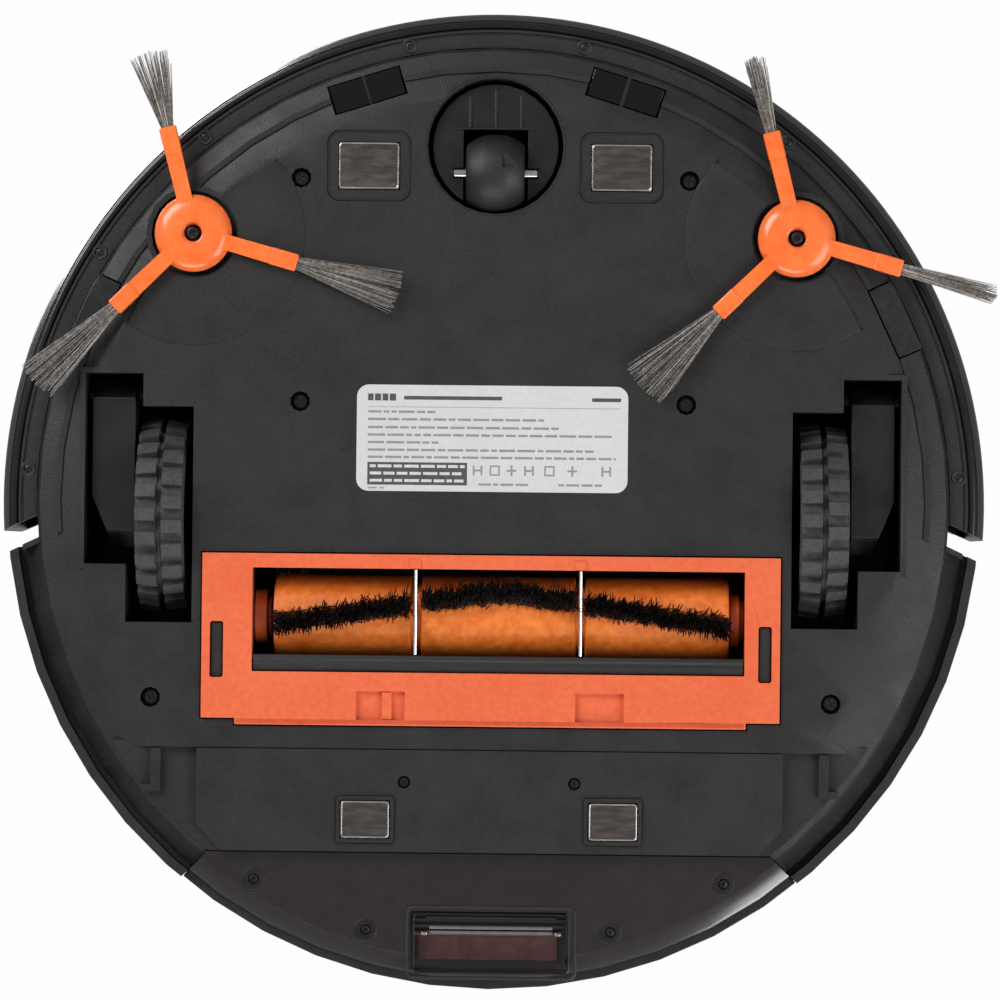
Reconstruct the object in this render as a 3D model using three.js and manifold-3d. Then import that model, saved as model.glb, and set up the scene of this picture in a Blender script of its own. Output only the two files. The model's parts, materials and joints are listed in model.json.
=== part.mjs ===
// A round robot vacuum cleaner with a laser turret and a self-emptying dust bin. Millimetres, +Z up.
// The origin is on the floor under the middle of the body. The front, with the bumper, faces -Y and the
// dust bin slides out at +Y. Left is -X and right is +X, as the side brushes are marked underneath.
import * as THREE from "three";
import { mergeVertices } from "three/addons/utils/BufferGeometryUtils.js";
import Module from "manifold-3d";

const wasm = await Module();
wasm.setup();

// ---------------------------------------------------------------- driving dimensions

const GAP = 0.3; // kept between pieces that touch
const PLAY = 0.5; // kept between pieces that slide or turn on each other
const SKIN = 2.4; // moulded shells
const RIB = 1.8; // inner walls of the chassis
const REACH = 400; // a cutter's size, past the whole body
const SNAP = 0.004; // corners nearer than this are one
const FACETS = 52; // round the body
const LARGE = 28; // round the turret, a wheel or a pocket
const MEDIUM = 20; // round a hub or a button
const SMALL = 10; // round a small hole or pin

const body = { radius: 163, height: 80, floorGap: 9 };

const underside = {
  slopeWidth: 27, // from the rim to the flat middle
  slopeKnee: 11.5, // from the rim to where the slope steepens
  kneeRise: 5,
  rimInset: 5,
  rimRise: 13,
  rimWall: 2.5,
  rearStepY: 82,
  rearStepRise: 3,
};

const front = { lipInset: 10.5, wallInset: 17, lipTop: 16.6 };

const notch = { y: 14, width: 8, inset: 8.5, slope: Math.tan(THREE.MathUtils.degToRad(25)) };

const bumper = { proud: 2, bottom: 17, wall: 2.4, topGap: 1.3, trimWidth: 7.7, trimThick: 2 };

const shell = { wallBottom: 19.5, edge: 4.5, panelInset: 24.6, panelDepth: 1.7, lipInset: 3 };

const turret = { y: 14, radius: 47, rise: 16.5, window: 8.5, capEdge: 3.5, depth: 18 };

// The rotor turns inside the turret's posts: clear of them at the drum, and of their feet at the pulley.
const rotor = { drum: turret.radius - 17, pulley: turret.radius - 9, pulleyThick: 4 };

const motorPulley = { radius: 5, reach: 60 };

const button = { radius: 8, x: 15, y: -104 };

const wheel = { radius: 33, width: 16.2, x: 110.6, y: 4.8, rimRadius: 25.5, axle: 3 };

const well = { outer: 135.9, middleOut: 121.9, middleIn: 116.6, inner: 99.7, frontA: 42.3, backA: 21.4,
  frontB: 31.3, backB: 40.7, top: 6 };

const arm = { pivotY: -36, pivotZ: 26, front: -40.2, back: 16, outer: 134, inner: 119.6, top: 58, bottom: 14,
  chamferX: 7.4, chamferY: 17.6, pin: 3 };

const caster = { y: -119, pocket: 22.6, pocketTop: 45, trail: 8.8, wheelRadius: 13, wheelWidth: 19.5,
  forkRadius: 21, forkBottom: 12, pin: 1.5, stem: 4 };

const sideBrush = { x: 100.4, y: -89, hub: 12.6, recess: 14.2, recessTop: 14, dish: 37.5, dishDepth: 0.7,
  armLength: 36, armWidth: 5, armThick: 2.2, faceZ: 4.6, phase: 15.8, shaft: 2.5, screwHole: 3 };

// Each bristle tuft, by its arm: how far it reaches from the hub's middle and how wide it fans out.
const tufts = {
  left: [{ reach: 64.5, spread: 13.8 }, { reach: 73, spread: 12.9 }, { reach: 62, spread: 12 }],
  right: [{ reach: 69, spread: 6 }, { reach: 72, spread: 16 }, { reach: 62, spread: 7 }],
};

const roller = { y: 38.4, z: 26, core: 14, bristle: 19.5, left: -72.7, right: 79.5, rows: 3, rowThick: 5,
  endAngle: 8, midAngle: -34, clearance: 2, groove: 9, grooveWidth: 2.4, boss: 8 };

const rollerTunnel = roller.bristle + roller.clearance;

const cover = { halfX: 96.2, front: 17.3, back: 72.2, backMid: 74.3, midHalfX: 85, face: 7.8, thick: 5,
  windowLeft: -79.4, windowRight: 84.4, windowFront: 22.1, windowBack: 56.6, lipDepth: 5.7,
  wires: [-25.1, 29.8], wireRadius: 0.65, slotX: 91.2, slotY: 49.4, slotWidth: 4.4, slotLength: 18.6,
  tabX: 36.4, tabWidth: 16.2, tabFront: 62.9, tabDepth: 1.8 };

const throat = { halfX: 34, bottom: 30.5, top: 45.5 };

const plate = { halfX: 97.5, front: 82.3, back: 116.2, cornerX: 8, cornerY: 8.6, face: 8.6, thick: 3 };

const contact = { x: 42.1, y: -112.1, width: 20, depth: 15.4, bezelWidth: 28, bezelDepth: 23.6, corner: 4,
  rearX: 41.2, rearY: 105.5, rearWidth: 16, rearDepth: 12.2, rearBezel: 2.6, thick: 1.4, proud: 0.4,
  groove: 0.9, grooveDeep: 0.8 };

const cliff = { width: 24.4, depth: 9.4, top: 16.2, frontAngle: 17.4, frontInset: 18.8, sideAngle: 64.9,
  sideInset: 14.8 };

const bin = { halfX: 90.9, front: 79.6, flareY: 114, bottom: 12.4, stepY: 116.9, stepBottom: 14.9, split: 24,
  top: 69.8, wall: 2, bevelInset: 10, rimInset: 2.5 };

const port = { halfX: 26, front: 136, back: 156, frame: 2.4, top: 20, holeHalfX: 22, holeFront: 144.6,
  holeBack: 151.6, flapPin: 1.1 };

const latch = { halfX: 13, bottom: 56, top: 65, depth: 5 };

const screws = { radius: 3.4, boss: 5.2, bossTop: 15.5,
  chassis: [[64.7, -108], [64.3, -33.4], [113.2, 65.6]], plate: [[28.3, 93]], plateRadius: 2.2,
  bin: [[78.3, 125.9], [40.8, 142.4]], binRadius: 2 };

const blower = { x: 66, y: 50, radius: 26, bottom: roller.z + rollerTunnel + RIB + 2.2, top: 73.5, wall: 2, eye: 13 };

const battery = { left: -84, right: -14, front: -76, back: -6, bottom: 16.5, height: 37 };

// ---------------------------------------------------------------- solids

// Cuts along one line leave corners a hair apart: each takes the place of the first one that is as near.
function snapped(positions) {
  const kept = [];
  const point = new THREE.Vector3();
  const places = positions.clone();
  for (let i = 0; i < places.count; i += 1) {
    point.fromBufferAttribute(places, i);
    const near = kept.find((other) => Math.abs(other.x - point.x) < SNAP && other.distanceTo(point) < SNAP);
    if (near) places.setXYZ(i, near.x, near.y, near.z);
    else kept.push(point.clone());
  }
  return places;
}

// A closed three.js geometry as a solid: positions only, shared vertices merged, faces turned outwards.
function solid(geometry) {
  const bare = new THREE.BufferGeometry();
  bare.setAttribute("position", snapped(geometry.getAttribute("position")));
  bare.setIndex(geometry.getIndex());
  const merged = mergeVertices(bare, SNAP / 10);
  const corners = merged.getAttribute("position");
  const index = merged.getIndex().array;
  const faces = [];
  let volume = 0;
  const [a, b, c] = [new THREE.Vector3(), new THREE.Vector3(), new THREE.Vector3()];
  for (let i = 0; i < index.length; i += 3) {
    const [p, q, r] = [index[i], index[i + 1], index[i + 2]];
    if (p === q || q === r || r === p) continue;
    faces.push([p, q, r]);
    volume += a.fromBufferAttribute(corners, p).dot(
      b.fromBufferAttribute(corners, q).cross(c.fromBufferAttribute(corners, r)));
  }
  const outward = volume < 0 ? faces.map(([p, q, r]) => [p, r, q]) : faces;
  const mesh = { numProp: 3, vertProperties: corners.array, triVerts: new Uint32Array(outward.flat()) };
  return new wasm.Manifold(new wasm.Mesh(mesh));
}

function geometryOf(shape) {
  const mesh = shape.getMesh();
  const geometry = new THREE.BufferGeometry();
  geometry.setAttribute("position", new THREE.BufferAttribute(mesh.vertProperties, 3));
  geometry.setIndex(new THREE.BufferAttribute(mesh.triVerts, 1));
  return geometry;
}

const join = (...shapes) => shapes.reduce((whole, next) => whole.add(next));
const cut = (shape, ...tools) => tools.reduce((rest, tool) => rest.subtract(tool), shape);

function box(x0, x1, y0, y1, z0, z1) {
  const [left, right] = [Math.min(x0, x1), Math.max(x0, x1)];
  const geometry = new THREE.BoxGeometry(right - left, y1 - y0, z1 - z0);
  return solid(geometry.translate((left + right) / 2, (y0 + y1) / 2, (z0 + z1) / 2));
}

function disc(radius, z0, z1, x = 0, y = 0, sides = MEDIUM) {
  const geometry = new THREE.CylinderGeometry(radius, radius, z1 - z0, sides);
  return solid(geometry.rotateX(Math.PI / 2).translate(x, y, (z0 + z1) / 2));
}

// A cylinder that lies along X.
function rod(radius, x0, x1, y, z, sides = SMALL) {
  const [left, right] = [Math.min(x0, x1), Math.max(x0, x1)];
  const geometry = new THREE.CylinderGeometry(radius, radius, right - left, sides);
  return solid(geometry.rotateZ(Math.PI / 2).translate((left + right) / 2, y, z));
}

// A closed profile of [radius, height] points turned round the vertical through x, y.
function turned(profile, x = 0, y = 0, sides = MEDIUM) {
  const points = profile.map(([r, z]) => new THREE.Vector2(r, z));
  points.push(points[0].clone());
  const geometry = new THREE.LatheGeometry(points, sides);
  return solid(geometry.rotateX(Math.PI / 2).translate(x, y, 0));
}

// An outline of [x, y] points extruded from z0 to z1.
function prism(outline, z0, z1) {
  const shape = new THREE.Shape(outline.map(([x, y]) => new THREE.Vector2(x, y)));
  const settings = { depth: z1 - z0, bevelEnabled: false, steps: 1 };
  return solid(new THREE.ExtrudeGeometry(shape, settings).translate(0, 0, z0));
}

// An outline of [y, z] points extruded along X.
function profileAlongX(outline, x0, x1) {
  const [left, right] = [Math.min(x0, x1), Math.max(x0, x1)];
  const shape = new THREE.Shape(outline.map(([y, z]) => new THREE.Vector2(y, z)));
  const geometry = new THREE.ExtrudeGeometry(shape, { depth: right - left, bevelEnabled: false });
  const axes = new THREE.Matrix4().makeBasis(
    new THREE.Vector3(0, 1, 0), new THREE.Vector3(0, 0, 1), new THREE.Vector3(1, 0, 0));
  return solid(geometry.applyMatrix4(axes).translate(left, 0, 0));
}

// A rectangle with round corners, as an extruded solid.
function roundedBlock(width, depth, corner, z0, z1, x, y) {
  const [w, d] = [width / 2 - corner, depth / 2 - corner];
  const shape = new THREE.Shape();
  shape.absarc(w, d, corner, 0, Math.PI / 2);
  shape.absarc(-w, d, corner, Math.PI / 2, Math.PI);
  shape.absarc(-w, -d, corner, Math.PI, 1.5 * Math.PI);
  shape.absarc(w, -d, corner, 1.5 * Math.PI, 2 * Math.PI);
  const geometry = new THREE.ExtrudeGeometry(shape, { depth: z1 - z0, bevelEnabled: false, curveSegments: 3 });
  return solid(geometry.translate(x, y, z0));
}

const mirrored = (shape) => solid(geometryOf(shape).scale(-1, 1, 1));
const bothSides = (shape) => join(shape, mirrored(shape));

function tilted(shape, x, y, degrees) {
  const geometry = geometryOf(shape).translate(-x, -y, 0);
  return solid(geometry.rotateZ(THREE.MathUtils.degToRad(degrees)).translate(x, y, 0));
}

// ---------------------------------------------------------------- materials

function plastic(color, roughness = 0.6, metalness = 0) {
  return new THREE.MeshStandardMaterial({ color, roughness, metalness });
}

const finish = {
  blackShell: plastic(0x2b2b2b, 0.62),
  blackGloss: plastic(0x0e0e0f, 0.15),
  blackPart: plastic(0x171717, 0.55),
  orangeGloss: plastic(0xf0703a, 0.38),
  orangeRubber: plastic(0xdc7326, 0.5),
  bristleGrey: plastic(0x6f6a66, 0.7),
  bristleBlack: plastic(0x141314, 0.8),
  tyre: plastic(0x474747, 0.85),
  darkRubber: plastic(0x252627, 0.7),
  smoky: plastic(0x4a4142, 0.25),
  steel: plastic(0xc9c6c2, 0.25, 1),
  cell: plastic(0x2d6f9e, 0.5),
  board: plastic(0x1c5c35, 0.5),
  filterPaper: plastic(0xe8e6df, 0.9),
};

const robot = new THREE.Group();

function piece(name, shape, material, parent = robot) {
  const mesh = new THREE.Mesh(geometryOf(solid(geometryOf(shape))), material);
  mesh.name = name;
  parent.add(mesh);
  return mesh;
}

// ---------------------------------------------------------------- shared places

const under = body.floorGap;
const flatRadius = body.radius - underside.slopeWidth;
const kneeRadius = body.radius - underside.slopeKnee;
const rimRadius = body.radius - underside.rimInset;
const rimTop = under + underside.rimRise + underside.rimWall;
const lipRadius = body.radius - front.lipInset;
const wallRadius = body.radius - front.wallInset;
const bumperRadius = body.radius + bumper.proud;
const rearFloor = under + underside.rearStepRise;
const panelRadius = body.radius - shell.panelInset;
const ceiling = body.height - shell.panelDepth - SKIN;
const turretTop = body.height + turret.rise;

// Everything behind the V of lines that the side notches follow, where the line crosses the rim at y.
function behind(y, z0 = -REACH, z1 = REACH) {
  const atRim = body.radius - notch.inset;
  const apex = y - atRim * notch.slope;
  const far = y + (REACH - atRim) * notch.slope;
  return prism([[0, apex], [REACH, far], [REACH, 2 * REACH], [-REACH, 2 * REACH], [-REACH, far]], z0, z1);
}

const everywhere = () => box(-REACH, REACH, -REACH, REACH, -REACH, REACH);
const ahead = (y) => cut(everywhere(), behind(y));
const ringOf = (outer, inner, z0, z1, sides = FACETS) =>
  cut(disc(outer, z0, z1, 0, 0, sides), disc(inner, z0 - 1, z1 + 1, 0, 0, sides));

// The dust bin's plan: straight sides, then 45 degree flares out to the round rear.
function binPlan(grow, z0, z1) {
  const [x, y] = [bin.halfX + grow, bin.flareY + grow * (Math.SQRT2 - 1)];
  const [yFront, yFar] = [bin.front - grow, y + REACH];
  return prism([[-x, yFront], [x, yFront], [x, y], [x + REACH, yFar], [-x - REACH, yFar], [-x, y]], z0, z1);
}

// The rectangle of one cliff sensor, long side across the radius, at an angle from the front.
function cliffBlock(side, angle, inset, grow, z0, z1) {
  const turn = THREE.MathUtils.degToRad(angle);
  const reach = body.radius - inset;
  const [x, y] = [side * reach * Math.sin(turn), -reach * Math.cos(turn)];
  const [w, d] = [cliff.width / 2 + grow, cliff.depth / 2 + grow];
  return tilted(box(x - w, x + w, y - d, y + d, z0, z1), x, y, side * angle);
}

const cliffPlaces = [
  ["cliff_window_front_left", -1, cliff.frontAngle, cliff.frontInset],
  ["cliff_window_front_right", 1, cliff.frontAngle, cliff.frontInset],
  ["cliff_window_side_left", -1, cliff.sideAngle, cliff.sideInset],
  ["cliff_window_side_right", 1, cliff.sideAngle, cliff.sideInset],
];

// ---------------------------------------------------------------- chassis

function wellBlock(grow, z0, z1) {
  const outer = box(well.middleIn - grow, well.outer + grow, -well.frontA - grow, well.backA + grow, z0, z1);
  const inner = box(well.inner - grow, well.middleOut + grow, -well.frontB - grow, well.backB + grow, z0, z1);
  return join(outer, inner);
}

function tray() {
  const top = rearFloor + SKIN;
  const skin = turned([
    [0, under], [flatRadius, under], [kneeRadius, under + underside.kneeRise],
    [rimRadius, under + underside.rimRise], [rimRadius, rimTop], [rimRadius - underside.rimWall, rimTop],
    [rimRadius - underside.rimWall, rimTop - 1.2], [kneeRadius - 1.4, under + underside.kneeRise + SKIN],
    [flatRadius - 0.4, under + SKIN], [0, under + SKIN],
  ], 0, 0, FACETS);
  const stepped = cut(skin, box(-REACH, REACH, underside.rearStepY, REACH, 0, rearFloor));
  const rearHalf = box(-REACH, REACH, underside.rearStepY - RIB, REACH, rearFloor, top);
  const rearSkin = disc(kneeRadius - 2, rearFloor, top, 0, 0, FACETS).intersect(rearHalf);
  const stepRange = box(-REACH, REACH, underside.rearStepY - RIB, underside.rearStepY, under, top);
  const stepWall = disc(flatRadius, under, top, 0, 0, FACETS).intersect(stepRange);
  return join(stepped, rearSkin, stepWall);
}

function frontWall() {
  const wall = ringOf(wallRadius, wallRadius - RIB, under + 2, ceiling - PLAY);
  const whole = wall.intersect(ahead(notch.y + RIB));
  const closing = behind(notch.y).subtract(behind(notch.y + RIB / notch.slope / 2));
  const closed = ringOf(rimRadius, wallRadius - RIB, under + 6, rimTop).intersect(closing);
  return join(whole, closed);
}

function tunnelBlock(grow, z0) {
  const { y, z } = roller;
  const [x0, x1] = [cover.windowLeft - grow, cover.windowRight + grow];
  return join(
    rod(rollerTunnel + grow, x0, x1, y, z, MEDIUM),
    box(x0, x1, y - rollerTunnel - grow, y + rollerTunnel + grow, z0, z),
  );
}

function coverOutline(grow) {
  const { halfX, front: f, back, backMid, midHalfX } = cover;
  const [x, xm] = [halfX + grow, midHalfX + grow];
  return [[-x, f - grow], [x, f - grow], [x, back + grow], [xm, back + grow], [xm, backMid + grow],
    [-xm, backMid + grow], [-xm, back + grow], [-x, back + grow]];
}

function bezelGroove(width, depth, corner, z, x, y) {
  const outer = roundedBlock(width, depth, corner, z - 1, z + contact.grooveDeep, x, y);
  const w = width - 2 * contact.groove;
  const d = depth - 2 * contact.groove;
  return outer.subtract(roundedBlock(w, d, corner - contact.groove, z - 2, z + 5, x, y));
}

const coverTop = cover.face + cover.thick + 0.7;
const wellTop = body.height - well.top;
const housingBottom = coverTop + RIB + GAP; // the housings stand on the chassis
const above = (z) => box(-REACH, REACH, -REACH, REACH, z, REACH);

// The air duct from the roller's tunnel to the dust bin.
const duct = (grow, end = 0) => box(-throat.halfX - grow, throat.halfX + grow, roller.y + 8, bin.front - PLAY + end,
  throat.bottom - grow, throat.top + grow);

const armHoles = () => join(
  rod(arm.pin + PLAY, well.outer - 1, well.outer + RIB + 1, arm.pivotY, arm.pivotZ),
  rod(arm.pin + PLAY, well.middleIn - RIB - 1, well.middleIn + 1, arm.pivotY, arm.pivotZ),
);

function chassis() {
  const sunk = under + 0.5;
  const hubWall = sideBrush.recess + RIB;
  const added = join(
    tray(),
    frontWall(),
    bothSides(wellBlock(RIB, sunk, housingBottom - GAP)),
    prism(coverOutline(PLAY + RIB), sunk, coverTop + RIB),
    disc(caster.pocket + RIB, sunk, caster.pocketTop + RIB, 0, caster.y, LARGE),
    bothSides(disc(hubWall, sunk, sideBrush.recessTop + RIB, sideBrush.x, sideBrush.y)),
    ...screws.chassis.map(([x, y]) => bothSides(disc(screws.boss, sunk, screws.bossTop, x, y, SMALL))),
    bothSides(box(109.5, 112.8, underside.rearStepY + 0.5, 97, rearFloor - 2.4, rearFloor + 0.5)),
    bothSides(box(109.5, 116, 94.6, 97, rearFloor - 2.4, rearFloor + 0.5)),
  );
  const hollow = cut(
    added,
    bothSides(wellBlock(0, 0, REACH)),
    prism(coverOutline(PLAY), 0, coverTop),
    tunnelBlock(0, 0),
    disc(caster.pocket, 0, caster.pocketTop, 0, caster.y, LARGE),
    disc(caster.stem + PLAY, 0, caster.pocketTop + 9, 0, caster.y, SMALL),
    bothSides(disc(sideBrush.recess, 0, sideBrush.recessTop, sideBrush.x, sideBrush.y)),
    bothSides(disc(sideBrush.shaft + 2, 0, REACH / 10, sideBrush.x, sideBrush.y, SMALL)),
    bothSides(disc(sideBrush.dish, 0, under + sideBrush.dishDepth, sideBrush.x, sideBrush.y, LARGE)),
    binPlan(PLAY, rearFloor + SKIN, REACH),
    binPlan(PLAY, 0, REACH).intersect(box(-REACH, REACH, bin.stepY - PLAY, REACH, 0, REACH)),
    ...screws.chassis.map(([x, y]) => bothSides(disc(screws.radius, 0, screws.bossTop - 2, x, y, SMALL))),
    ...cliffPlaces.map(([, side, angle, inset]) => cliffBlock(side, angle, inset, PLAY, 0, front.lipTop + 0.1)),
    bothSides(bezelGroove(contact.bezelWidth, contact.bezelDepth, contact.corner, under, contact.x, contact.y)),
    bothSides(contactSeat(contact.x, contact.y, contact.width, contact.depth, under)),
  );
  const ledge = ringOf(REACH, wallRadius, front.lipTop, REACH).intersect(ahead(notch.y));
  const past = ringOf(REACH, lipRadius, 0, REACH).intersect(ahead(notch.y));
  return cut(hollow, ledge, past);
}

// The box over the right drive wheel; the left one is its mirror image.
function wheelHousing() {
  const room = disc(wallRadius - RIB - GAP, 0, REACH, 0, 0, FACETS);
  return cut(wellBlock(RIB, housingBottom, wellTop).intersect(room), wellBlock(0, 0, wellTop - RIB), armHoles());
}

// The roller's tunnel with its duct, the bearing at its left end and the gearbox at its right end.
function brushHousing() {
  const walls = join(tunnelBlock(RIB, housingBottom), duct(RIB)).intersect(above(housingBottom));
  return join(cut(walls, tunnelBlock(0, 0), duct(0, 1)), rollerBearing(), rollerGearbox());
}

// The wall round the dust bin.
function binBay() {
  const z0 = under + underside.kneeRise + SKIN + GAP;
  const walls = binPlan(PLAY + RIB, z0, bin.top + 2).intersect(box(-REACH, REACH, 0, plate.back, 0, REACH));
  return cut(walls, binPlan(PLAY, 0, REACH), duct(RIB + GAP, 1),
    box(46, 84, bin.front - 5, bin.front + 2, blower.bottom + 2, bin.top - 2));
}

// The pocket that a contact plate sits in.
function contactSeat(x, y, width, depth, face) {
  return box(x - width / 2 - GAP, x + width / 2 + GAP, y - depth / 2 - GAP, y + depth / 2 + GAP, 0,
    face + contact.thick);
}

function contactPlate(x, y, width, depth, face) {
  const top = face + contact.thick - GAP;
  return box(x - width / 2, x + width / 2, y - depth / 2, y + depth / 2, face - contact.proud, top);
}

// ---------------------------------------------------------------- top shell and bumper

function topShell() {
  const { radius, height } = body;
  const inner = radius - SKIN;
  const flange = rimTop + GAP;
  const whole = turned([
    [radius, shell.wallBottom], [radius, height - shell.edge - 2], [radius - 1.3, height - 2.2],
    [radius - shell.edge, height], [panelRadius, height], [panelRadius, height - shell.panelDepth],
    [0, height - shell.panelDepth], [0, ceiling], [inner - shell.edge, ceiling],
    [inner, height - shell.edge - 3], [inner, flange + 2], [rimRadius - 2, flange + 2],
    [rimRadius - 2, flange], [radius - 3, flange], [radius - 3, shell.wallBottom],
  ], 0, 0, FACETS);
  const bumperTop = height - shell.edge - GAP;
  const frontSpace = ringOf(REACH, wallRadius + GAP, 0, bumperTop).intersect(ahead(notch.y));
  const lipSpace = ringOf(REACH, radius - shell.lipInset, 0, REACH).intersect(ahead(notch.y));
  const strip = behind(notch.y - notch.width).subtract(behind(notch.y));
  const notchSpace = ringOf(REACH, lipRadius, 0, REACH).intersect(strip);
  const closing = behind(notch.y).subtract(behind(notch.y + RIB / notch.slope / 2));
  const closed = ringOf(radius - 1, wallRadius + GAP, rimTop + GAP, ceiling + 1).intersect(closing);
  const binDoor = binPlan(PLAY, 0, bin.top + PLAY);
  const slots = [];
  for (let i = 0; i < 7; i += 1) {
    const slot = box(radius - 8, radius + 5, -1.2, 1.2, 34, 58);
    slots.push(tilted(slot, 0, 0, 26 + i * 2.4));
  }
  const lidarBay = disc(turret.radius + PLAY, 0, REACH, 0, turret.y, LARGE);
  const keys = bothSides(disc(button.radius + PLAY, 0, REACH, button.x, button.y, MEDIUM));
  return cut(join(cut(whole, frontSpace), closed), lipSpace, notchSpace, binDoor, lidarBay, keys, ...slots);
}

function topPanel() {
  const bottom = body.height - shell.panelDepth + GAP;
  const plain = disc(panelRadius - GAP, bottom, body.height + 0.4, 0, 0, FACETS);
  const lidarBay = disc(turret.radius + PLAY, 0, REACH, 0, turret.y, LARGE);
  const keys = bothSides(disc(button.radius + PLAY, 0, REACH, button.x, button.y, MEDIUM));
  return cut(plain, lidarBay, keys);
}

function bumperShell() {
  const [r, z, w] = [bumperRadius, bumper.bottom, bumper.wall];
  const top = body.height - shell.edge - bumper.topGap;
  const trimTop = z + bumper.trimThick + 0.8;
  const trimOuter = r - 5.6;
  const whole = turned([
    [r - 3.5, z], [r, z + 7], [r, top - 5.5], [r - 1.6, top - 1.6], [r - 5, top], [r - 13, top],
    [r - 13, top - 2.2], [r - 5, top - 2.2], [r - w, top - 6], [r - w, z + 8], [r - w - 0.8, trimTop + 2.4],
    [r - 12, trimTop + 2.4], [r - 12, trimTop], [trimOuter, trimTop], [trimOuter, z],
  ], 0, 0, FACETS);
  return whole.intersect(ahead(notch.y - notch.width));
}

function bumperTrim() {
  const outer = bumperRadius - 5.6 - GAP;
  const z = bumper.bottom + 0.4;
  const ring = ringOf(outer, outer - bumper.trimWidth, z, z + bumper.trimThick);
  return ring.intersect(ahead(notch.y - notch.width + 0.01));
}

// ---------------------------------------------------------------- laser turret

const lidarFloor = body.height - turret.depth;
const lobeY = turret.y - motorPulley.reach;

function lidarPlan(grow, z0, z1) {
  const [wide, narrow] = [rotor.pulley + 4 + grow, motorPulley.radius + 7 + grow];
  return join(
    disc(turret.radius + grow - SKIN, z0, z1, 0, turret.y, LARGE),
    disc(narrow, z0, z1, 0, lobeY, SMALL),
    prism([[-narrow, lobeY], [narrow, lobeY], [wide, turret.y], [-wide, turret.y]], z0, z1),
  );
}

function lidarBase() {
  const { radius, y } = turret;
  const lid = ceiling - PLAY;
  const flangeZ = body.height + 0.4 + GAP;
  const cup = turned([
    [0, lidarFloor], [radius, lidarFloor], [radius, flangeZ], [radius + 2.6, flangeZ],
    [radius + 2.6, flangeZ + 2], [radius - SKIN, flangeZ + 2], [radius - SKIN, lidarFloor + 1],
    [0, lidarFloor + 1],
  ], 0, y, LARGE);
  const outside = join(lidarPlan(RIB, lidarFloor, lid).intersect(disc(REACH, 0, lid)), cup);
  const inside = cut(lidarPlan(0, lidarFloor + RIB, lid + 1));
  const shaft = disc(motorPulley.radius - 1, 0, REACH, 0, lobeY, SMALL);
  const spindle = disc(4, lidarFloor + 0.5, lidarFloor + 12, 0, y, SMALL);
  const motor = disc(9.5, lidarFloor - 17, lidarFloor + 0.2, 0, lobeY, MEDIUM);
  return join(cut(outside, inside, shaft), spindle, motor);
}

function turretCap() {
  const { radius, y, window: tall, capEdge } = turret;
  const seat = body.height + 0.4 + GAP + 2;
  const lidBottom = seat + GAP + tall;
  const lid = turned([
    [0, turretTop], [radius - capEdge, turretTop], [radius - 0.8, turretTop - 1.2], [radius, lidBottom + 1],
    [radius, lidBottom], [0, lidBottom],
  ], 0, y, LARGE);
  const pillars = [45, 135, 180 + 45, 360 - 45].map((degrees) => {
    const post = box(radius - 4, radius - 1.2, -4.5, 4.5, seat + GAP, lidBottom + 1);
    const turn = THREE.MathUtils.degToRad(degrees);
    return solid(geometryOf(post).rotateZ(turn).translate(0, y, 0));
  });
  return join(lid, ...pillars);
}

function lidarRotor() {
  const z = lidarFloor + 5;
  const drumTop = body.height + turret.rise - turret.capEdge - 3.6;
  const plateZ = z + rotor.pulleyThick;
  const spun = turned([
    [4 + PLAY, z], [rotor.pulley, z], [rotor.pulley - 1.4, z + rotor.pulleyThick / 2],
    [rotor.pulley, plateZ], [rotor.drum, plateZ], [rotor.drum, drumTop], [0, drumTop],
    [0, lidarFloor + 13], [4 + PLAY, lidarFloor + 13],
  ], 0, 0, LARGE);
  const eyes = [-9, 9].map((x) => {
    const lens = new THREE.CylinderGeometry(3.4, 3.4, 5, SMALL);
    return solid(lens.translate(x, -rotor.drum + 0.5, drumTop - 5));
  });
  return join(spun, ...eyes);
}

function lidarPulley() {
  const z = lidarFloor + 5;
  const { radius } = motorPulley;
  return turned([
    [0, z - 4], [1.2, z - 4], [1.2, z], [radius, z], [radius - 1, z + rotor.pulleyThick / 2],
    [radius, z + rotor.pulleyThick], [0, z + rotor.pulleyThick],
  ], 0, 0, SMALL);
}

// The round belt: two half circles and two straight runs, on the pulleys' grooves with a small gap.
function lidarBelt() {
  const [big, small] = [rotor.pulley + GAP, motorPulley.radius + GAP];
  const lean = Math.asin((big - small) / motorPulley.reach);
  const loop = (grow) => {
    const shape = new THREE.Shape();
    shape.absarc(0, 0, big + grow, -lean, Math.PI + lean);
    shape.absarc(0, -motorPulley.reach, small + grow, Math.PI + lean, 2 * Math.PI - lean);
    return shape;
  };
  const band = (grow, depth) => solid(new THREE.ExtrudeGeometry(loop(grow),
    { depth, bevelEnabled: false, curveSegments: 10 }));
  const outer = band(1.4, 1.6);
  return outer.subtract(solid(geometryOf(band(0, 4)).translate(0, 0, -1)));
}

// ---------------------------------------------------------------- wheels and caster

function tyre() {
  const half = wheel.width / 2;
  const [r, inner] = [wheel.radius, wheel.rimRadius + GAP];
  const spun = turned([
    [inner, -half], [r - 1, -half], [r, -half + 1], [r, half - 1], [r - 1, half], [inner, half],
  ], 0, 0, LARGE);
  return solid(geometryOf(spun).rotateY(Math.PI / 2));
}

function wheelRim() {
  const half = wheel.width / 2 - 0.4;
  const bore = wheel.axle + GAP;
  const spun = turned([
    [bore, -half], [wheel.rimRadius - 2, -half], [wheel.rimRadius, -half + 1.2],
    [wheel.rimRadius, half - 1.2], [wheel.rimRadius - 2, half], [20, half], [18.5, half - 4],
    [9, half - 4], [8, half], [bore, half],
  ], 0, 0, MEDIUM);
  return solid(geometryOf(spun).rotateY(Math.PI / 2));
}

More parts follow.
